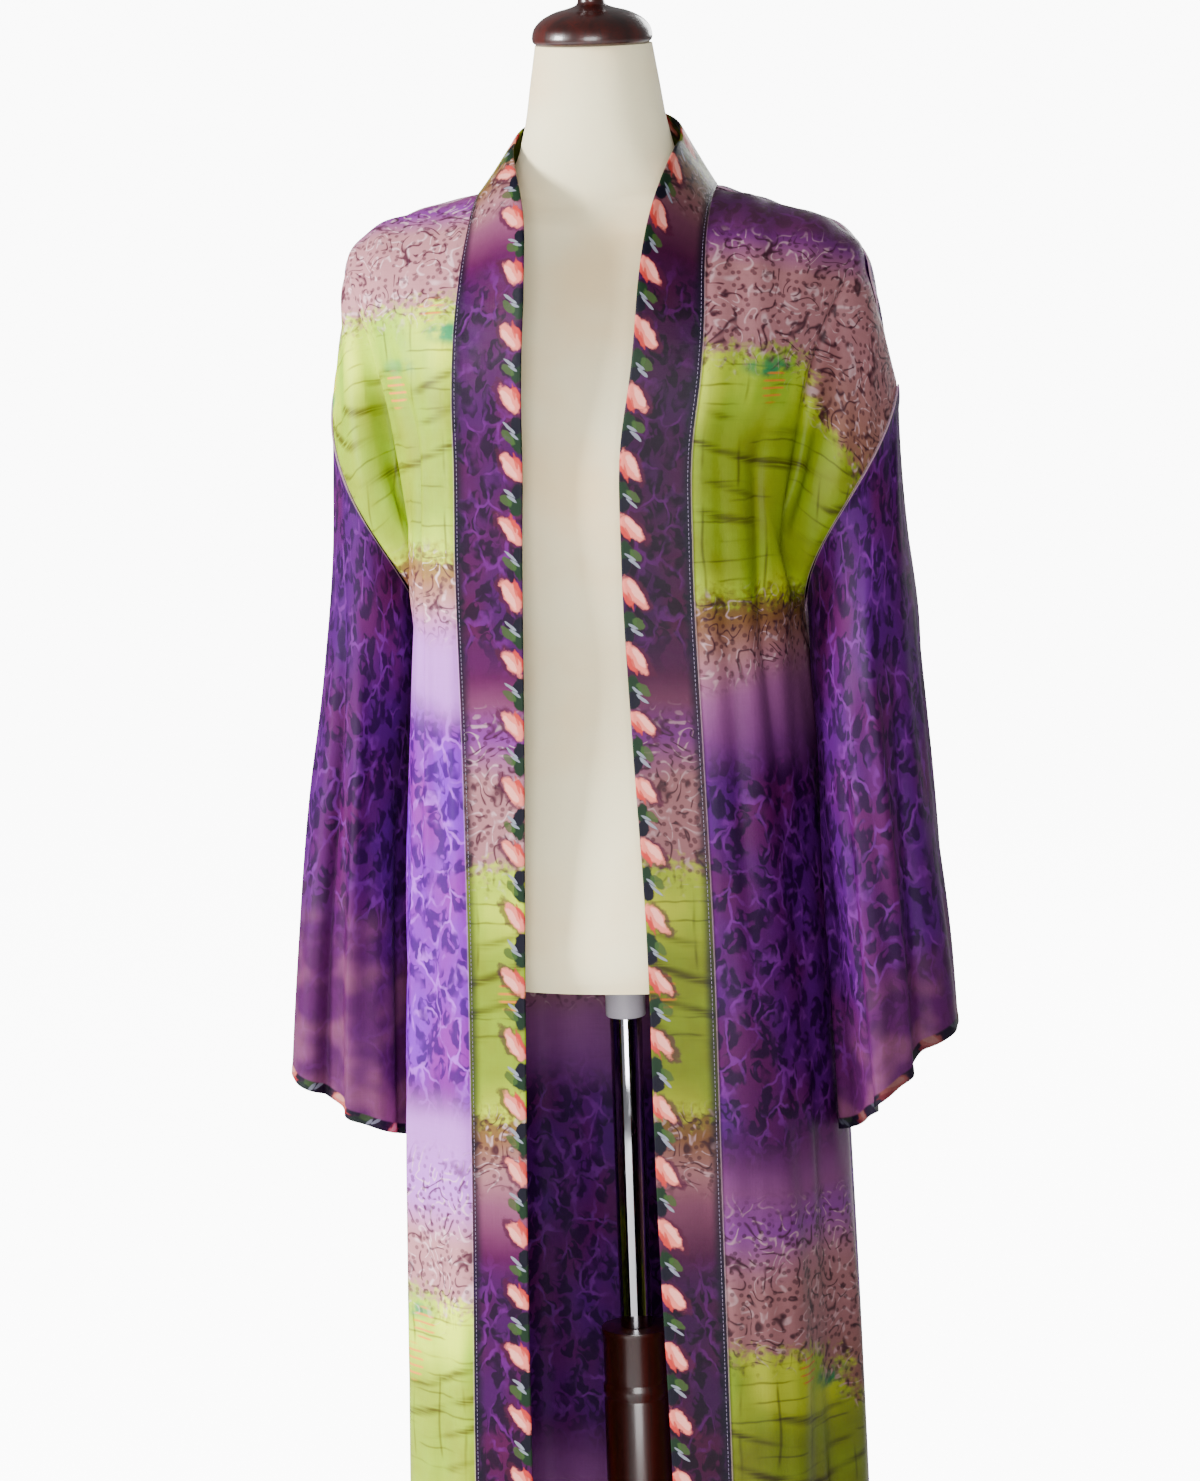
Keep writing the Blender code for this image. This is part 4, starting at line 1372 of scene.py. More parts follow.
@dataclass(frozen=True)
class ClothFinish:
    """Finish of one face of a printed piece."""

    name: str
    place: PrintPlace
    shade: float = 0.0
    roughness: float = 0.44
    specular: float = 0.13
    sheen: float = 0.0
    sleeve_stretch: float = 0.85
    painted_highlight_width: float = 0.0016
    pucker_reach: float = 0.016

    def material(self, dyes: Dyes) -> Material:
        """Build the material.

        Args:
            dyes: the node groups that the cloth finishes share.

        Returns:
            The new material.
        """
        finish, g, sockets = start_finish(self.name)
        across, down, edge = g.split(g.node("Attribute", attribute_name=CUT).outputs["Vector"])
        seam = g.node("Attribute", attribute_name=SEAM).outputs["Fac"]
        if self.place.pattern is Pattern.SLEEVE:
            colour = self.sleeve_print(g, dyes, across, down, edge)
        else:
            # Painted shade: depth darkens the print, and the far shade adds more on the wearer's left half of
            # the band and on the lower skirt.
            depth = self.place.depth
            if self.place.painted_shade_far > 0.0:
                on_band = self.place.pattern is Pattern.BAND
                far = g.ease(edge, -0.1, 0.1) if on_band else g.ease(down, 0.60, 1.05)
                depth = g.add(g.times(far, self.place.painted_shade_far), depth)
            colour = dyes.bands.use(g, {
                "Across": across, "Down": down, "Start": self.place.start, "Yoke": self.place.yoke,
                "Side": self.place.side, "Light": self.place.light, "Depth": depth,
            }).outputs["Color"]
        if self.place.pattern is Pattern.BAND:
            border = dyes.border.use(g, {"Out": across, "Along": edge})
            colour = g.mix(border.outputs["Mask"], colour, border.outputs["Color"])
            # Painted shadow: a dark navy line on the band beside its seam.
            colour = g.mix(g.times(g.ease(seam, 0.0100, 0.0025), 0.80), colour, NAVY)
        else:
            # Painted highlight: a pale pink rim on the panel along its seams.
            colour = g.mix(g.times(g.ease(seam, self.painted_highlight_width, 0.0), 0.4), colour, PALE_PINK)
        weave = dyes.weave.use(g, {"Across": across, "Down": down})
        colour = g.mix(0.22, colour, g.vector(*[weave.outputs["Tone"]] * 3), "MULTIPLY")
        # Painted shade: the reverse face is mixed toward dark purple.
        if self.shade > 0.0:
            colour = g.mix(self.shade, colour, PAINTED_SHADE_PURPLE)
        g.feed(sockets["Base Color"], colour)
        g.feed(sockets["Roughness"], g.add(g.times(weave.outputs["Tone"], 0.12), self.roughness - 0.12))
        puckers = g.noise(g.here(), 110.0, 2.0)
        puckers = g.times(g.times(puckers, g.ease(seam, self.pucker_reach, 0.001)), 2.2)
        g.feed(sockets["Normal"], g.bump(g.add(weave.outputs["Height"], puckers), 0.0004))
        sockets["Sheen Weight"].default_value = self.sheen
        sockets["Sheen Roughness"].default_value = 0.4
        sockets["Specular IOR Level"].default_value = self.specular
        return finish

    def sleeve_print(self, g: Graph, dyes: Dyes, across: object, down: object,
                     edge: object) -> Socket:
        """Colour a sleeve.

        Args:
            g: the writer of the tree.
            dyes: the shared groups.
            across: distance around the sleeve.
            down: distance down from the armhole.
            edge: distance up from the hem.

        Returns:
            Spots that fade to mauve above the hem, which has a narrow flowered edge.
        """
        spots = dyes.spots.use(g, {
            "Across": across, "Down": g.times(down, self.sleeve_stretch), "Light": self.place.light,
        }).outputs["Color"]
        place = g.vector(across, down)
        uneven = g.waver(0.09, place, 14.0, 2.0)
        height = g.add(edge, uneven)
        mauve = g.mix(g.ease(g.noise(place, 22.0, 2.0), 0.42, 0.66), paint(84, 22, 82), MAUVE)
        faded = g.times(g.ease(height, self.place.cuff + 0.05, self.place.cuff - 0.05), 0.82)
        colour = g.mix(faded, spots, mauve)
        border = dyes.border.use(g, {"Out": g.add(edge, 0.003), "Along": across})
        flowers = g.times(border.outputs["Mask"], self.place.hem_flowers)
        edge_colour = g.mix(flowers, NAVY, border.outputs["Color"])
        colour = g.mix(g.ease(edge, 0.0095, 0.0075), colour, edge_colour)
        # Painted shade: the sleeve's colours are multiplied toward a grey tint.
        return g.mix(self.place.depth, colour, SHADOW_TINT, "MULTIPLY")


@dataclass(frozen=True)
class ThreadFinish:
    """Finish of sewing thread."""

    name: str
    colour: Colour

    def material(self) -> Material:
        """Build the material.

        Returns:
            The new material.
        """
        finish, g, sockets = start_finish(self.name)
        place = g.here()
        tone = g.noise(place, 2600.0, 1.0)
        paler = g.mix(0.4, self.colour, paint(230, 220, 235))
        g.feed(sockets["Base Color"], g.mix(g.ease(tone, 0.3, 0.7), self.colour, paler))
        sockets["Roughness"].default_value = 0.55
        sockets["Sheen Weight"].default_value = 0.3
        return finish


class StitchTree:
    """Geometry Nodes that set stitches along the edges of a mesh whose points know which way is out."""

    def __init__(self) -> None:
        """Build the tree: path, places a pitch apart, one stitch on each, made real and given its thread."""
        self.tree = bpy.data.node_groups.new("Stitches", "GeometryNodeTree")
        face = self.tree.interface
        face.new_socket("Path", in_out="INPUT", socket_type="NodeSocketGeometry")
        self.sockets = {
            name: face.new_socket(name, in_out="INPUT", socket_type="NodeSocket" + kind).identifier
            for name, kind in (("Pitch", "Float"), ("Stitch length", "Float"), ("Thread radius", "Float"),
                               ("Thread", "Material"))
        }
        face.new_socket("Stitches", in_out="OUTPUT", socket_type="NodeSocketGeometry")
        given = self.node("NodeGroupInput").outputs
        curve = self.node("GeometryNodeMeshToCurve")
        spaced = self.node("GeometryNodeResampleCurve", mode="LENGTH")
        tangent = self.node("GeometryNodeInputTangent")
        outward = self.node("GeometryNodeInputNamedAttribute", data_type="FLOAT_VECTOR")
        outward.inputs["Name"].default_value = OUT
        turned = self.node("FunctionNodeAxesToRotation", primary_axis="X", secondary_axis="Z")
        ball = self.node("GeometryNodeMeshUVSphere")
        ball.inputs["Segments"].default_value = 6
        ball.inputs["Rings"].default_value = 4
        ball.inputs["Radius"].default_value = 1.0
        size = self.node("ShaderNodeCombineXYZ")
        half = self.node("ShaderNodeMath", operation="MULTIPLY")
        half.inputs[1].default_value = 0.5
        shaped = self.node("GeometryNodeTransform")
        placed = self.node("GeometryNodeInstanceOnPoints")
        real = self.node("GeometryNodeRealizeInstances")
        smooth = self.node("GeometryNodeSetShadeSmooth")
        dressed = self.node("GeometryNodeSetMaterial")
        result = self.node("NodeGroupOutput")
        for start, end in (
            (given["Path"], curve.inputs[0]),
            (curve.outputs[0], spaced.inputs["Curve"]),
            (given["Pitch"], spaced.inputs["Length"]),
            (tangent.outputs[0], turned.inputs["Primary Axis"]),
            (outward.outputs[0], turned.inputs["Secondary Axis"]),
            (given["Stitch length"], half.inputs[0]),
            (half.outputs[0], size.inputs[0]),
            (given["Thread radius"], size.inputs[1]),
            (given["Thread radius"], size.inputs[2]),
            (size.outputs[0], shaped.inputs["Scale"]),
            (ball.outputs["Mesh"], shaped.inputs["Geometry"]),
            (spaced.outputs["Curve"], placed.inputs["Points"]),
            (shaped.outputs["Geometry"], placed.inputs["Instance"]),
            (turned.outputs[0], placed.inputs["Rotation"]),
            (placed.outputs[0], real.inputs[0]),
            (real.outputs[0], smooth.inputs["Geometry"]),
            (smooth.outputs[0], dressed.inputs["Geometry"]),
            (given["Thread"], dressed.inputs["Material"]),
            (dressed.outputs[0], result.inputs[0]),
        ):
            self.tree.links.new(start, end)

    def node(self, kind: str, **settings: object) -> bpy.types.Node:
        """Add a node with some of its properties set.

        Args:
            kind: the node's kind.
            settings: its properties.

        Returns:
            The new node.
        """
        made = self.tree.nodes.new(kind)
        for name, value in settings.items():
            setattr(made, name, value)
        return made


@dataclass
class Stitching:
    """Rows of machine stitches: beside the seams and above the hems."""

    pitch: float = 0.0034
    length: float = 0.0026
    radius: float = 0.00022
    seam_inset: float = 0.0022
    hem_inset: float = 0.0066
    tree: StitchTree = field(default_factory=StitchTree)

    def rows(self, cloth: Cloth) -> list[tuple[np.ndarray, np.ndarray]]:
        """Choose the lines that are sewn.

        Args:
            cloth: the piece of cloth.

        Returns:
            Points and outward directions of each row of stitches.
        """
        normals = cloth.normals()
        rows = []
        if cloth.name == "neckband":
            rows.append(self.line(cloth.points, normals, cloth.seam, self.seam_inset))
            return rows
        to_hem = np.broadcast_to(cloth.cut[:, :, 2], cloth.seam.shape)
        flipped = [np.swapaxes(grid, 0, 1)[::-1] for grid in (cloth.points, normals, to_hem)]
        rows.append(self.line(*flipped, self.hem_inset))
        if cloth.closed:
            down = lengths_along(cloth.points, 1)
            rows.append(self.line(*[np.swapaxes(grid, 0, 1) for grid in (cloth.points, normals, down)],
                                  self.seam_inset))
        return rows

    def line(self, points: np.ndarray, normals: np.ndarray, away: np.ndarray,
             inset: float) -> tuple[np.ndarray, np.ndarray]:
        """Find the line that runs at one distance from an edge.

        Args:
            points: the cloth's points, from the edge inward on the first axis.
            normals: their outward directions.
            away: their distance from the edge.
            inset: how far in the line runs.

        Returns:
            Points and outward directions along the line.
        """
        found = []
        for place in range(points.shape[1]):
            both = np.concatenate((points[:, place], normals[:, place]), axis=-1)
            found.append([np.interp(inset, away[:, place], both[:, axis]) for axis in range(6)])
        found = np.array(found)
        return found[:, :3], unit(found[:, 3:])

    def sew(self, cloth: Cloth, half_wall: np.ndarray, thread: Material) -> Piece:
        """Sew a piece of cloth.

        Args:
            cloth: the piece.
            half_wall: half the wall at each of its points.
            thread: the stitches' material.

        Returns:
            All of the piece's stitches as one plain mesh.
        """
        lift = float(half_wall.max()) + 0.3 * self.radius
        vertices, edges, outward = [], [], []
        for points, normals in self.rows(cloth):
            first = len(vertices)
            count = len(points)
            vertices += (points + normals * lift).tolist()
            outward += normals.tolist()
            edges += [(first + i, first + i + 1) for i in range(count - 1)]
            if cloth.closed:
                edges.append((first + count - 1, first))
        path = bpy.data.meshes.new("path")
        path.from_pydata(vertices, edges, [])
        path.attributes.new(OUT, "FLOAT_VECTOR", "POINT").data.foreach_set("vector", np.ravel(outward))
        guide = link("path", path)
        modifier = guide.modifiers.new("stitches", "NODES")
        modifier.node_group = self.tree.tree
        values = {"Pitch": self.pitch, "Stitch length": self.length, "Thread radius": self.radius,
                  "Thread": thread}
        for name, value in values.items():
            modifier[self.tree.sockets[name]] = value
        evaluated = guide.evaluated_get(bpy.context.evaluated_depsgraph_get())
        mesh = bpy.data.meshes.new_from_object(evaluated)
        guide.modifiers.clear()
        bpy.data.objects.remove(guide)
        mesh.name = cloth.name + "_stitches"
        return link(mesh.name, mesh)


@dataclass
class KimonoCoat:
    """The coat: two fronts, back, two sleeves and the band round the neck."""

    cut: CoatCut = field(default_factory=CoatCut)
    wall: float = 0.0013
    band_wall: float = 0.0022
    hem_depth: float = 0.008
    hem_wall: float = 0.0021
    hem_slope: float = 0.0012
    seam_dip: float = 0.0009
    seam_half_width: float = 0.0040
    arm_crease_depth: float = 0.012
    arm_crease_half_width: float = 0.0080
    sleeve_crease_gain: float = 1.5
    smooth_sleeve_head: float = 0.06
    sway_depth: float = 0.0010
    sway_waves: int = 10
    sway_widths: tuple[float, float] = (0.030, 0.110)
    sway_lengths: tuple[float, float] = (0.180, 0.700)
    sleeve_reach: float = 0.08
    creases: tuple[Crease, ...] = grouped(Crease, {
        "front_right": (
            (0.30, 0.03, 0.10, 0.62, 0.0040, 0.0070),
            (0.36, 0.03, 0.08, 0.56, -0.0045, 0.0065),
            (0.45, 0.05, 0.13, 0.78, 0.0035, 0.0090),
            (0.18, 0.02, 0.40, 1.20, -0.0025, 0.0100),
            (0.66, 0.02, 0.55, 1.30, 0.0030, 0.0110),
        ),
        "front_left": (
            (0.20, 0.04, 0.16, 0.70, -0.0025, 0.0090),
            (0.34, 0.04, 0.12, 0.60, 0.0035, 0.0100),
            (0.46, 0.06, 0.10, 0.52, -0.0040, 0.0085),
            (0.25, -0.02, 0.62, 1.30, 0.0022, 0.0110),
            (0.50, 0.02, 0.70, 1.30, -0.0028, 0.0100),
        ),
        "back": (
            (0.20, 0.03, 0.20, 0.90, 0.0055, 0.0120),
            (0.30, 0.02, 0.12, 0.70, -0.0060, 0.0100),
            (0.40, -0.03, 0.10, 0.52, 0.0052, 0.0110),
            (0.61, 0.02, 0.14, 0.80, 0.0056, 0.0110),
            (0.71, -0.02, 0.10, 0.66, -0.0062, 0.0100),
            (0.82, 0.02, 0.24, 1.00, 0.0050, 0.0120),
            (0.25, -0.01, 0.70, 1.35, 0.0045, 0.0090),
            (0.47, 0.02, 0.62, 1.35, -0.0050, 0.0090),
            (0.56, 0.00, 0.78, 1.35, 0.0045, 0.0085),
            (0.76, 0.01, 0.66, 1.35, -0.0048, 0.0095),
        ),
        "sleeve_right": (
            (0.20, 0.00, 0.02, 0.50, 0.0060, 0.0080),
            (0.27, 0.01, 0.06, 0.52, -0.0055, 0.0085),
            (0.40, 0.00, 0.10, 0.50, 0.0035, 0.0080),
            (0.09, 0.01, 0.16, 0.50, -0.0030, 0.0075),
            (0.60, 0.02, 0.05, 0.44, -0.0040, 0.0090),
            (0.76, 0.00, 0.08, 0.50, 0.0045, 0.0095),
            (0.90, 0.00, 0.12, 0.50, -0.0035, 0.0085),
        ),
        "sleeve_left": (
            (0.12, 0.01, 0.10, 0.50, 0.0040, 0.0080),
            (0.21, -0.01, 0.04, 0.46, -0.0045, 0.0085),
            (0.31, 0.00, 0.14, 0.50, 0.0040, 0.0080),
            (0.44, 0.00, 0.03, 0.48, -0.0040, 0.0080),
            (0.62, 0.00, 0.06, 0.46, 0.0040, 0.0090),
            (0.75, 0.02, 0.05, 0.50, -0.0045, 0.0095),
            (0.92, 0.00, 0.14, 0.50, 0.0030, 0.0085),
        ),
    })
    stitching: Stitching = field(default_factory=Stitching)

    def build(self, dyes: Dyes) -> list[Piece]:
        """Build and dress every piece of the coat, with its stitches.

        Args:
            dyes: the node groups that the cloth finishes share.

        Returns:
            The coat's pieces.
        """
        fronts = {side: self.cut.front(side) for side in Side}
        back = self.cut.back()
        neckband = self.cut.neckband(fronts[Side.LEFT], fronts[Side.RIGHT], back)
        sleeves = {side: self.cut.sleeve_tube(side, fronts[side], back) for side in Side}
        for side in Side:
            self.crease(fronts[side])
            self.press_arm_fold(fronts[side])
            self.crease(sleeves[side])
        self.crease(back)
        thread = ThreadFinish("thread_purple", paint(62, 26, 92)).material()
        pieces = []
        # Light and depth below are painted light and painted shade: the wearer's right front, on the lamp's
        # side, gets the most light, and the wearer's left front and the band the most shade.
        for cloth, slot, place in (
            (fronts[Side.LEFT], "printed_cloth", PrintPlace(
                Pattern.BODY, start=0.158, yoke=0.070, side=0.085, light=0.25, depth=0.65, painted_shade_far=0.35)),
            (fronts[Side.RIGHT], "printed_cloth", PrintPlace(Pattern.BODY, start=0.120, light=1.0)),
            (back, "printed_cloth", PrintPlace(Pattern.BODY, start=0.42, light=0.35, depth=0.3)),
            (sleeves[Side.LEFT], "sleeve_cloth", PrintPlace(
                Pattern.SLEEVE, light=0.2, depth=0.2, cuff=0.060, hem_flowers=0.3)),
            (sleeves[Side.RIGHT], "sleeve_cloth", PrintPlace(
                Pattern.SLEEVE, light=0.20, depth=0.15, cuff=0.150)),
            (neckband, "band_cloth", PrintPlace(Pattern.BAND, start=0.70, depth=0.45, painted_shade_far=0.50)),
        ):
            pieces += self.dress(cloth, place, dyes, thread)
        return pieces

    def press_arm_fold(self, cloth: Cloth) -> None:
        """Sharpen the bottom of the fold between the chest and the sleeve."""
        armhole = self.cut.armhole_fold(cloth.points, self.cut.shoulder_length(), self.arm_crease_half_width)
        cloth.move_out(-self.arm_crease_depth * armhole * self.cut.border_share(cloth.points))

    def crease(self, cloth: Cloth) -> None:
        """Lay a piece's creases, its slow unevenness and the dips along its seams.

        Args:
            cloth: the piece.
        """
        run = lengths_along(cloth.points, 1)
        width = float(np.ptp(cloth.cut[:, :, 0], axis=0).mean())
        count = len(cloth.points)
        places = (np.arange(count) / (count if cloth.closed else count - 1))[:, None]
        depth = self.sway(cloth)
        for crease in self.creases:
            if crease.piece == cloth.name:
                share = np.clip((run - crease.top) / (crease.bottom - crease.top), 0.0, 1.0)
                shown = np.sin(np.pi * share) ** 0.8
                away = np.abs(places - crease.place - crease.lean * share)
                if cloth.closed:
                    shown = self.sleeve_crease_gain * smooth_step(share / 0.5)
                    away = np.minimum(away, 1.0 - away)
                depth += crease.depth * shown * np.exp(-(away * width / crease.half_width) ** 2)
        if cloth.closed:
            depth = depth * smooth_step(run / self.smooth_sleeve_head)
        else:
            depth = depth * self.cut.border_share(cloth.points)
        cloth.move_out(depth - self.seam_dip * np.exp(-(cloth.seam / self.seam_half_width) ** 2))

    def sway(self, cloth: Cloth) -> np.ndarray:
        """Slow unevenness of hanging cloth: long waves of mixed length whose phases are fixed by the name.

        Args:
            cloth: the piece.

        Returns:
            A depth for each point.
        """
        draw = np.random.default_rng(sum(map(ord, cloth.name)))
        across, down, _ = np.moveaxis(cloth.cut, -1, 0)
        if cloth.closed:
            turns = across / (across[-1:] + across[1:2])
            across = np.sin(2.0 * np.pi * turns) * self.sleeve_reach
        depth = np.zeros(across.shape)
        for _ in range(self.sway_waves):
            across_rate = 2.0 * np.pi / draw.uniform(*self.sway_widths)
            down_rate = 2.0 * np.pi / draw.uniform(*self.sway_lengths) * draw.choice((-1.0, 1.0))
            depth += np.sin(across * across_rate + down * down_rate + draw.uniform(0.0, 2.0 * np.pi))
        return self.sway_depth * depth / math.sqrt(self.sway_waves)

    def half_wall(self, cloth: Cloth) -> np.ndarray:
        """Half the wall at each point: thicker over a hem, rounded at the band's folded edge.

        Args:
            cloth: the piece.

        Returns:
            Half the wall.
        """
        if cloth.name == "neckband":
            near = np.clip(1.0 - cloth.cut[:, :, 0] / self.band_wall, 0.0, 0.97)
            return 0.5 * self.band_wall * np.sqrt(1.0 - near**2)
        hem = smooth_step((self.hem_depth - cloth.cut[:, :, 2]) / self.hem_slope)
        return 0.5 * (self.wall + (self.hem_wall - self.wall) * hem)

    def dress(self, cloth: Cloth, place: PrintPlace, dyes: Dyes,
              thread: Material) -> list[Piece]:
        """Turn a piece of cloth into its shell, with its print outside and a reverse darkened by painted
        shade, and sew it.

        Args:
            cloth: the piece of cloth, named for the node that it stands for.
            place: where the piece lies on the printed cloth.
            dyes: the shared node groups.
            thread: the stitches' material.

        Returns:
            The shell and its stitches.
        """
        outside = ClothFinish(cloth.name + "_face", place).material(dyes)
        # The reverse face is darkened with painted shade.
        within = ClothFinish(cloth.name + "_reverse", place, shade=0.35, roughness=0.55).material(dyes)
        half_wall = self.half_wall(cloth)
        piece = cloth.shell(half_wall, [outside, within])
        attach(piece, BODY)
        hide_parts(cloth.name)
        stitches = self.stitching.sew(cloth, half_wall, thread)
        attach(stitches, BODY)
        self.declare(cloth)
        return [piece, stitches]

    def declare(self, cloth: Cloth) -> None:
        """Work out the flat length that a piece was cut to; the length is not kept or used.

        Args:
            cloth: the cloth that it was made from.
        """
        length = float(cloth.cut[:, :, 1].max())
        if cloth.name == "neckband":
            length = 2.0 * length


FORM = Table(("z", "half_width", "front", "back", "roundness"), (
    (0.802, 0.1350, 0.1000, 0.1000, 2.2),
    (0.812, 0.1400, 0.1040, 0.1040, 2.2),
    (0.880, 0.1450, 0.1050, 0.1080, 2.2),
    (0.960, 0.1300, 0.0960, 0.0960, 2.1),
    (1.050, 0.1160, 0.0880, 0.0820, 2.0),
    (1.130, 0.1260, 0.0960, 0.0860, 2.0),
    (1.200, 0.1390, 0.1020, 0.0920, 1.9),
    (1.270, 0.1500, 0.0900, 0.0900, 1.8),
    (1.320, 0.1680, 0.0740, 0.0800, 1.6),
    (1.355, 0.1790, 0.0580, 0.0660, 1.4),
    (1.372, 0.1790, 0.0500, 0.0580, 1.35),
    (1.384, 0.1750, 0.0460, 0.0550, 1.35),
    (1.3925, 0.1650, 0.0450, 0.0540, 1.4),
    (1.4012, 0.1430, 0.0420, 0.0440, 1.30),
    (1.4060, 0.1180, 0.0400, 0.0420, 1.30),
    (1.4110, 0.0920, 0.0400, 0.0420, 1.40),
    (1.4210, 0.0760, 0.0420, 0.0460, 1.75),
    (1.436, 0.0650, 0.0450, 0.0510, 2.0),
    (1.460, 0.0570, 0.0460, 0.0500, 2.0),
    (1.500, 0.0500, 0.0440, 0.0470, 2.0),
    (1.528, 0.0455, 0.0410, 0.0440, 2.0),
))


def loft(rings: list[np.ndarray]) -> bmesh.types.BMesh:
    """Join rings one above the other, with flat ends.

    Args:
        rings: the rings, from below.

    Returns:
        The closed mesh.
    """
    mesh = bmesh.new()
    made = [[mesh.verts.new(point) for point in ring] for ring in rings]
    count = len(made[0])
    for lower, upper in zip(made, made[1:]):
        for i in range(count):
            j = (i + 1) % count
            mesh.faces.new((lower[i], lower[j], upper[j], upper[i]))
    mesh.faces.new(list(reversed(made[0])))
    mesh.faces.new(made[-1])
    bmesh.ops.recalc_face_normals(mesh, faces=mesh.faces)
    return mesh


def finish_piece(name: str, mesh: bmesh.types.BMesh, material: Material,
                 sharp_degrees: float = 40.0) -> Piece:
    """Turn a bmesh into a smooth piece with its material.

    Args:
        name: the piece's name.
        mesh: its shape.
        material: its material.
        sharp_degrees: edges bent further than this stay sharp.

    Returns:
        The piece.
    """
    data = bpy.data.meshes.new(name)
    mesh.to_mesh(data)
    mesh.free()
    data.materials.append(material)
    data.shade_smooth()
    data.set_sharp_from_angle(angle=math.radians(sharp_degrees))
    return link(name, data)


@dataclass(frozen=True)
class JerseyFinish:
    """Cream stretch jersey over the form, with a fine knit."""

    name: str = "cream_jersey"

    def material(self) -> Material:
        """Build the material.

        Returns:
            The new material.
        """
        finish, g, sockets = start_finish(self.name)
        place = g.here()
        x, y, z = g.split(place)
        turn = g.math("ARCTAN2", y, x)
        wales = g.math("SINE", g.times(turn, 520.0))
        courses = g.math("SINE", g.times(z, 2.0 * math.pi / 0.0011))
        knit = g.times(wales, courses)
        soft = g.noise(place, 9.0, 3.0)
        colour = g.mix(g.ease(soft, 0.35, 0.7), paint(255, 244, 200), paint(252, 226, 172))
        fuzz = g.noise(place, 420.0, 2.0)
        colour = g.mix(g.times(fuzz, 0.12), colour, paint(226, 204, 166))
        g.feed(sockets["Base Color"], colour)
        sockets["Roughness"].default_value = 0.88
        sockets["Sheen Weight"].default_value = 0.35
        height = g.add(g.times(knit, 0.35), g.times(fuzz, 0.5))
        g.feed(sockets["Normal"], g.bump(height, 0.0003))
        return finish


@dataclass(frozen=True)
class WoodFinish:
    """Varnished dark red wood with a fine grain along the axis."""

    name: str = "mahogany"

    def material(self) -> Material:
        """Build the material.

        Returns:
            The new material.
        """
        finish, g, sockets = start_finish(self.name)
        place = g.here()
        stretched = g.placed(place, scale=(1.0, 1.0, 0.06))
        grain = g.noise(stretched, 260.0, 4.0, 0.4)
        figure = g.noise(stretched, 42.0, 3.0, 1.2)
        colour = g.mix(g.ease(figure, 0.3, 0.7), paint(32, 4, 2), paint(60, 11, 5))
        colour = g.mix(g.times(g.ease(grain, 0.52, 0.72), 0.6), colour, paint(18, 3, 2))
        g.feed(sockets["Base Color"], colour)
        g.feed(sockets["Roughness"], g.add(g.times(grain, 0.12), 0.26))
        sockets["Coat Weight"].default_value = 0.35
        sockets["Coat Roughness"].default_value = 0.12
        g.feed(sockets["Normal"], g.bump(grain, 0.0002, 0.5))
        return finish


@dataclass(frozen=True)
class ChromeFinish:
    """Polished chromed tube with faint wear."""

    name: str = "chrome"

    def material(self) -> Material:
        """Build the material.

        Returns:
            The new material.
        """
        finish, g, sockets = start_finish(self.name)
        place = g.here()
        scuffs = g.noise(g.placed(place, scale=(1.0, 1.0, 0.2)), 180.0, 3.0)
        g.feed(sockets["Base Color"], g.mix(scuffs, paint(206, 206, 212), paint(184, 182, 190)))
        sockets["Metallic"].default_value = 1.0
        g.feed(sockets["Roughness"], g.add(g.times(g.ease(scuffs, 0.5, 0.8), 0.14), 0.07))
        return finish


@dataclass(frozen=True)
class PlasticFinish:
    """Light grey moulded plastic."""

    name: str = "grey_plastic"

    def material(self) -> Material:
        """Build the material.

        Returns:
            The new material.
        """
        finish, g, sockets = start_finish(self.name)
        place = g.here()
        grit = g.noise(place, 900.0, 2.0)
        g.feed(sockets["Base Color"], g.mix(grit, paint(176, 170, 180), paint(160, 154, 166)))
        g.feed(sockets["Roughness"], g.add(g.times(grit, 0.15), 0.35))
        g.feed(sockets["Normal"], g.bump(grit, 0.0001, 0.4))
        return finish


@dataclass
class DressForm:
    """Torso and neck in jersey, under a turned wooden cap."""

    segments: int = 128
    rings_a_section: int = 5
    middle_y: float = 0.005
    jersey_ease: float = 0.0002

    def build(self, jersey: Material) -> Piece:
        """Build the torso through its level sections.

        Args:
            jersey: its material.

        Returns:
            The torso with its neck.
        """
        turns = 2.0 * math.pi * np.arange(self.segments) / self.segments
        cosine, sine = np.cos(turns), np.sin(turns)
        heights = [row[0] for row in FORM.rows]
        steps = np.arange(0, len(heights) - 1 + 1e-6, 1.0 / self.rings_a_section)
        rings = []
        for z in np.interp(steps, np.arange(len(heights)), heights):
            half_width, front, back, roundness = (FORM.value(name, z) for name in FORM.fields[1:])
            power = 2.0 / roundness
            depth = np.where(sine > 0.0, back, front) - self.jersey_ease
            x = (half_width - self.jersey_ease) * np.sign(cosine) * np.abs(cosine) ** power
            y = self.middle_y + depth * np.sign(sine) * np.abs(sine) ** power
            rings.append(np.stack((x, y, np.full_like(x, z)), axis=-1))
        piece = finish_piece("dress_form", loft(rings), jersey)
        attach(piece, BODY)
        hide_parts("form_torso")
        return piece


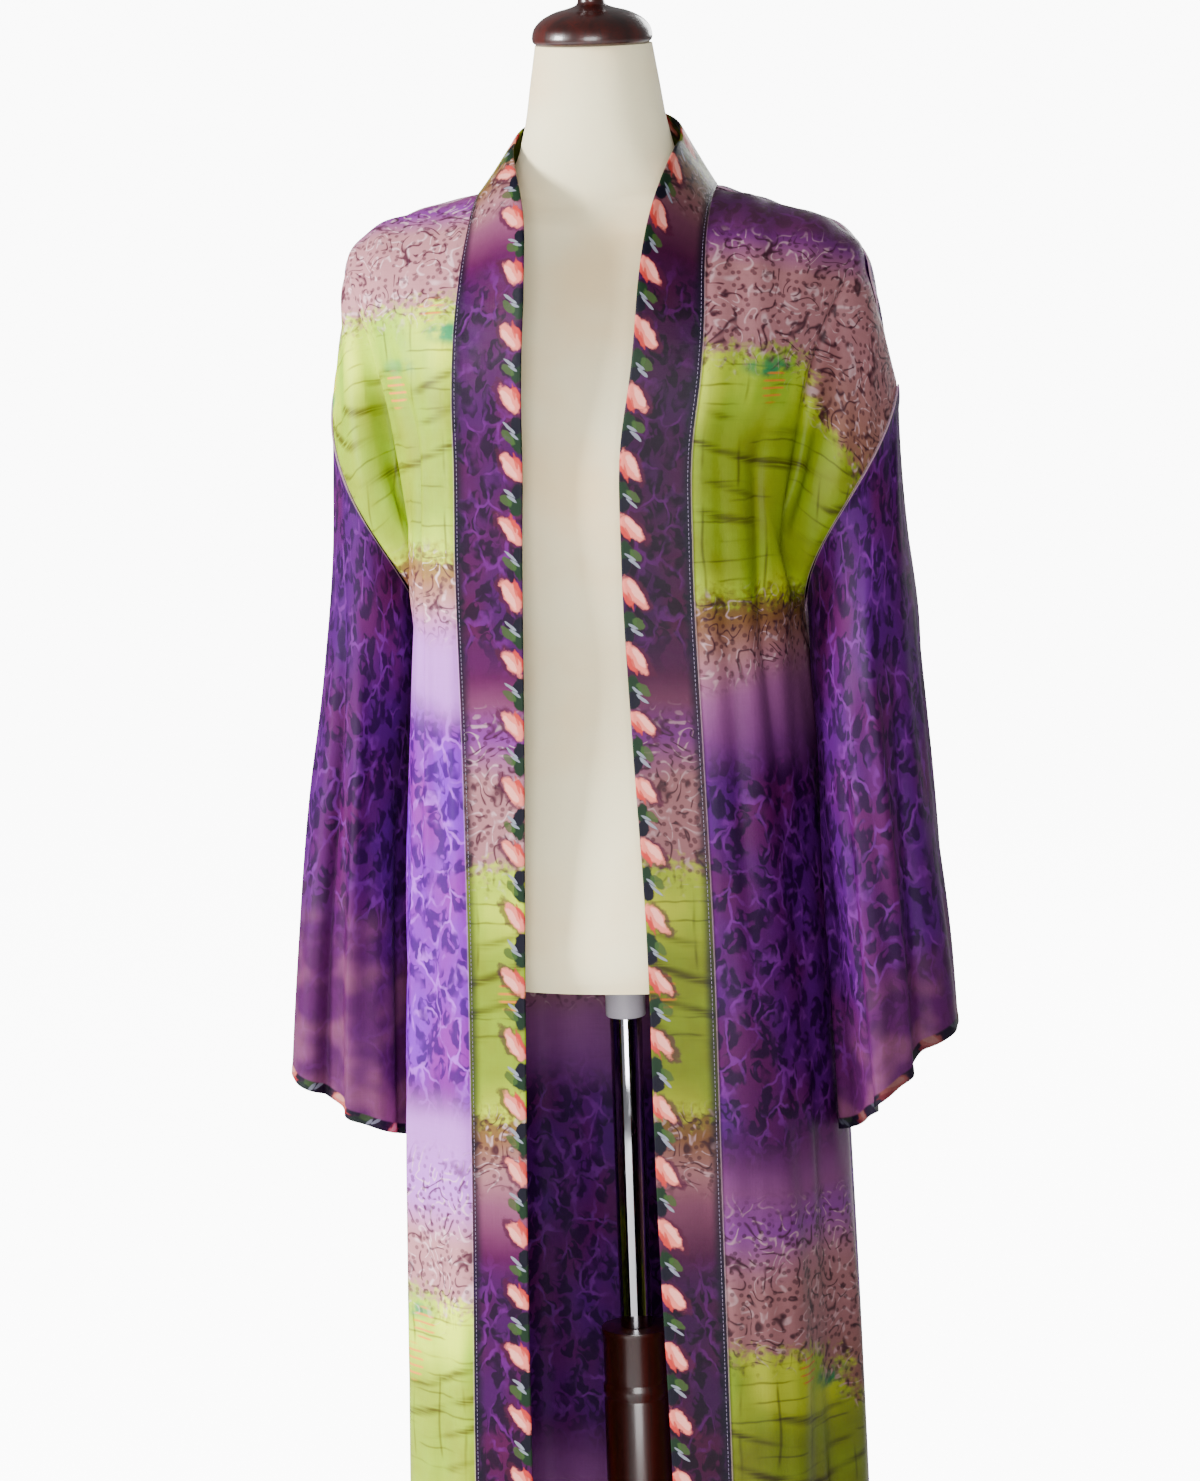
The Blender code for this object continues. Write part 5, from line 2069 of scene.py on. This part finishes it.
@dataclass
class Stand:
    """Wooden cap, grey collar, chromed pole, turned column and base."""

    segments: int = 96
    bevel: float = 0.0005
    bevel_degrees: float = 35.0
    rounded: tuple[str, ...] = ("neck_cap", "base")
    steps_between: int = 6
    profiles: dict[str, tuple[tuple[float, float], ...]] = field(default_factory=lambda: {
        "neck_cap": (
            (0.0430, 1.5283), (0.0460, 1.5313), (0.0462, 1.5363), (0.0440, 1.5423), (0.0380, 1.5483),
            (0.0280, 1.5533), (0.0170, 1.5563), (0.0110, 1.5593), (0.0105, 1.5653), (0.0135, 1.5703),
            (0.0150, 1.5763), (0.0135, 1.5833), (0.0080, 1.5883),
        ),
        "pole_collar": ((0.0152, 0.7640), (0.0158, 0.7650), (0.0158, 0.8007), (0.0152, 0.8017)),
        "pole": ((0.0128, 0.5103), (0.0128, 0.7637)),
        "column": (
            (0.0240, 0.0323), (0.0400, 0.0323), (0.0400, 0.0420), (0.0330, 0.0560), (0.0285, 0.0900),
            (0.0275, 0.1500), (0.0275, 0.4500), (0.0262, 0.4530), (0.0280, 0.4570), (0.0280, 0.4620),
            (0.0262, 0.4660), (0.0270, 0.4700), (0.0270, 0.5040), (0.0280, 0.5060), (0.0280, 0.5100),
        ),
        "base": (
            (0.1700, 0.0000), (0.1760, 0.0030), (0.1770, 0.0120), (0.1740, 0.0200), (0.1640, 0.0250),
            (0.1000, 0.0280), (0.0500, 0.0320),
        ),
    })
    slots: dict[str, str] = field(default_factory=lambda: {
        "neck_cap": "dark_wood",
        "pole_collar": "collar_plastic",
        "pole": "pole_chrome",
        "column": "dark_wood",
        "base": "dark_wood",
    })

    def turned(self, node: str) -> bmesh.types.BMesh:
        """Turn one piece about the pole's axis, with its hard edges eased.

        Args:
            node: the piece's node.

        Returns:
            Its shape.
        """
        profile = np.array(self.profiles[node])
        if node in self.rounded:
            keys = np.arange(len(profile))
            places = np.linspace(0, keys[-1], keys[-1] * self.steps_between + 1)
            profile = np.stack([smooth_curve(keys, column, places) for column in profile.T], axis=-1)
        turns = 2.0 * math.pi * np.arange(self.segments) / self.segments
        mesh = loft([
            np.stack((radius * np.cos(turns), radius * np.sin(turns), np.full_like(turns, height)), -1)
            for radius, height in profile
        ])
        hard = [edge for edge in mesh.edges if edge.calc_face_angle(0.0) > math.radians(self.bevel_degrees)]
        bmesh.ops.bevel(mesh, geom=hard, offset=self.bevel, segments=2, profile=0.5, affect="EDGES")
        return mesh

    def build(self, finishes: dict[str, Material]) -> list[Piece]:
        """Build every piece of the stand.

        Args:
            finishes: a material for each slot.

        Returns:
            The stand's pieces.
        """
        pieces = []
        for node in self.profiles:
            piece = finish_piece(node + "_turned", self.turned(node), finishes[self.slots[node]])
            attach(piece, BODY)
            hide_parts(node)
            pieces.append(piece)
        return pieces


@dataclass
class Studio:
    """Plain pale floor and surround, soft light mostly from the picture's left, and the camera."""

    azimuth: float = math.radians(10.0)
    distance: float = 4.3
    camera_z: float = 1.74
    target: Triple = (-0.013, 0.0, 0.985)
    roll: float = math.radians(2.0)
    focal_pixels: float = 5560.0
    picture_height: float = 1481.0
    floor_half: float = 40.0
    surround: float = 0.30
    glow: float = 10.0

    def camera(self) -> Piece:
        """Camera at the picture's angle, turned a little about its own axis.

        Returns:
            The camera.
        """
        data = bpy.data.cameras.new("camera")
        data.sensor_width = 36.0
        data.lens = self.focal_pixels * data.sensor_width / self.picture_height
        camera = bpy.data.objects.new("camera", data)
        bpy.context.scene.collection.objects.link(camera)
        target = Vector(self.target)
        camera.location = (
            target.x + self.distance * math.sin(self.azimuth),
            -self.distance * math.cos(self.azimuth),
            self.camera_z,
        )
        ahead = (target - camera.location).to_track_quat("-Z", "Y").to_matrix().to_4x4()
        rolled = Matrix.Translation(camera.location) @ ahead @ Matrix.Rotation(-self.roll, 4, "Z")
        camera.matrix_world = rolled
        bpy.context.scene.camera = camera
        return camera

    def seen_glow(self, tree: bpy.types.NodeTree, strength: Socket, least: float) -> None:
        """Raise a strength for what the camera sees directly.

        Args:
            tree: the node tree of the floor or of the surround.
            strength: the socket that is fed.
            least: its value for all other light.
        """
        g = Graph(tree)
        seen = g.node("LightPath").outputs["Is Camera Ray"]
        g.feed(strength, g.add(g.times(seen, self.glow - least), least))

    def floor(self) -> Piece:
        """Wide flat floor of pale paper.

        Returns:
            The floor.
        """
        mesh = bmesh.new()
        half = self.floor_half
        corners = ((-half, -half), (half, -half), (half, half), (-half, half))
        mesh.faces.new([mesh.verts.new((x, y, 0.0)) for x, y in corners])
        finish, _, sockets = start_finish("pale_paper")
        sockets["Base Color"].default_value = paint(236, 236, 236)
        sockets["Roughness"].default_value = 0.9
        sockets["Emission Color"].default_value = (1.0, 1.0, 1.0, 1.0)
        self.seen_glow(finish.node_tree, sockets["Emission Strength"], 0.0)
        piece = finish_piece("floor", mesh, finish)
        return piece

    def lights(self) -> None:
        """Large soft key from the left, softer lights in front and behind, and even light all round."""
        world = bpy.data.worlds.new("studio")
        world.use_nodes = True
        sky = world.node_tree.nodes["Background"]
        sky.inputs["Color"].default_value = (1.0, 1.0, 1.0, 1.0)
        self.seen_glow(world.node_tree, sky.inputs["Strength"], self.surround)
        bpy.context.scene.world = world
        for name, place, size, power in (
            ("key", (-3.2, -2.0, 2.0), 1.1, 400.0),
            ("fill", (0.5, -4.2, 1.6), 1.8, 175.0),
            ("back", (1.2, 4.0, 2.2), 1.8, 110.0),
        ):
            data = bpy.data.lights.new(name, "AREA")
            data.size = size
            data.energy = power
            lamp = bpy.data.objects.new(name, data)
            lamp.location = place
            aim = Vector((0.0, 0.0, 0.9)) - Vector(place)
            lamp.rotation_euler = aim.to_track_quat("-Z", "Y").to_euler()
            bpy.context.scene.collection.objects.link(lamp)


def main() -> None:
    """Build and dress the object, then the studio round it."""
    logging.basicConfig(level=logging.INFO, format="%(name)s: %(message)s")
    studio = Studio()
    studio.camera()
    studio.floor()
    studio.lights()
    dyes = Dyes.mixed()
    pieces = KimonoCoat().build(dyes)
    pieces.append(DressForm().build(JerseyFinish().material()))
    wood = WoodFinish().material()
    finishes = {
        "dark_wood": wood,
        "collar_plastic": PlasticFinish().material(),
        "pole_chrome": ChromeFinish().material(),
    }
    pieces += Stand().build(finishes)
    for piece in pieces:
        LOG.info("%s: %d faces", piece.name, len(piece.data.polygons))


if __name__ == "__main__":
    main()
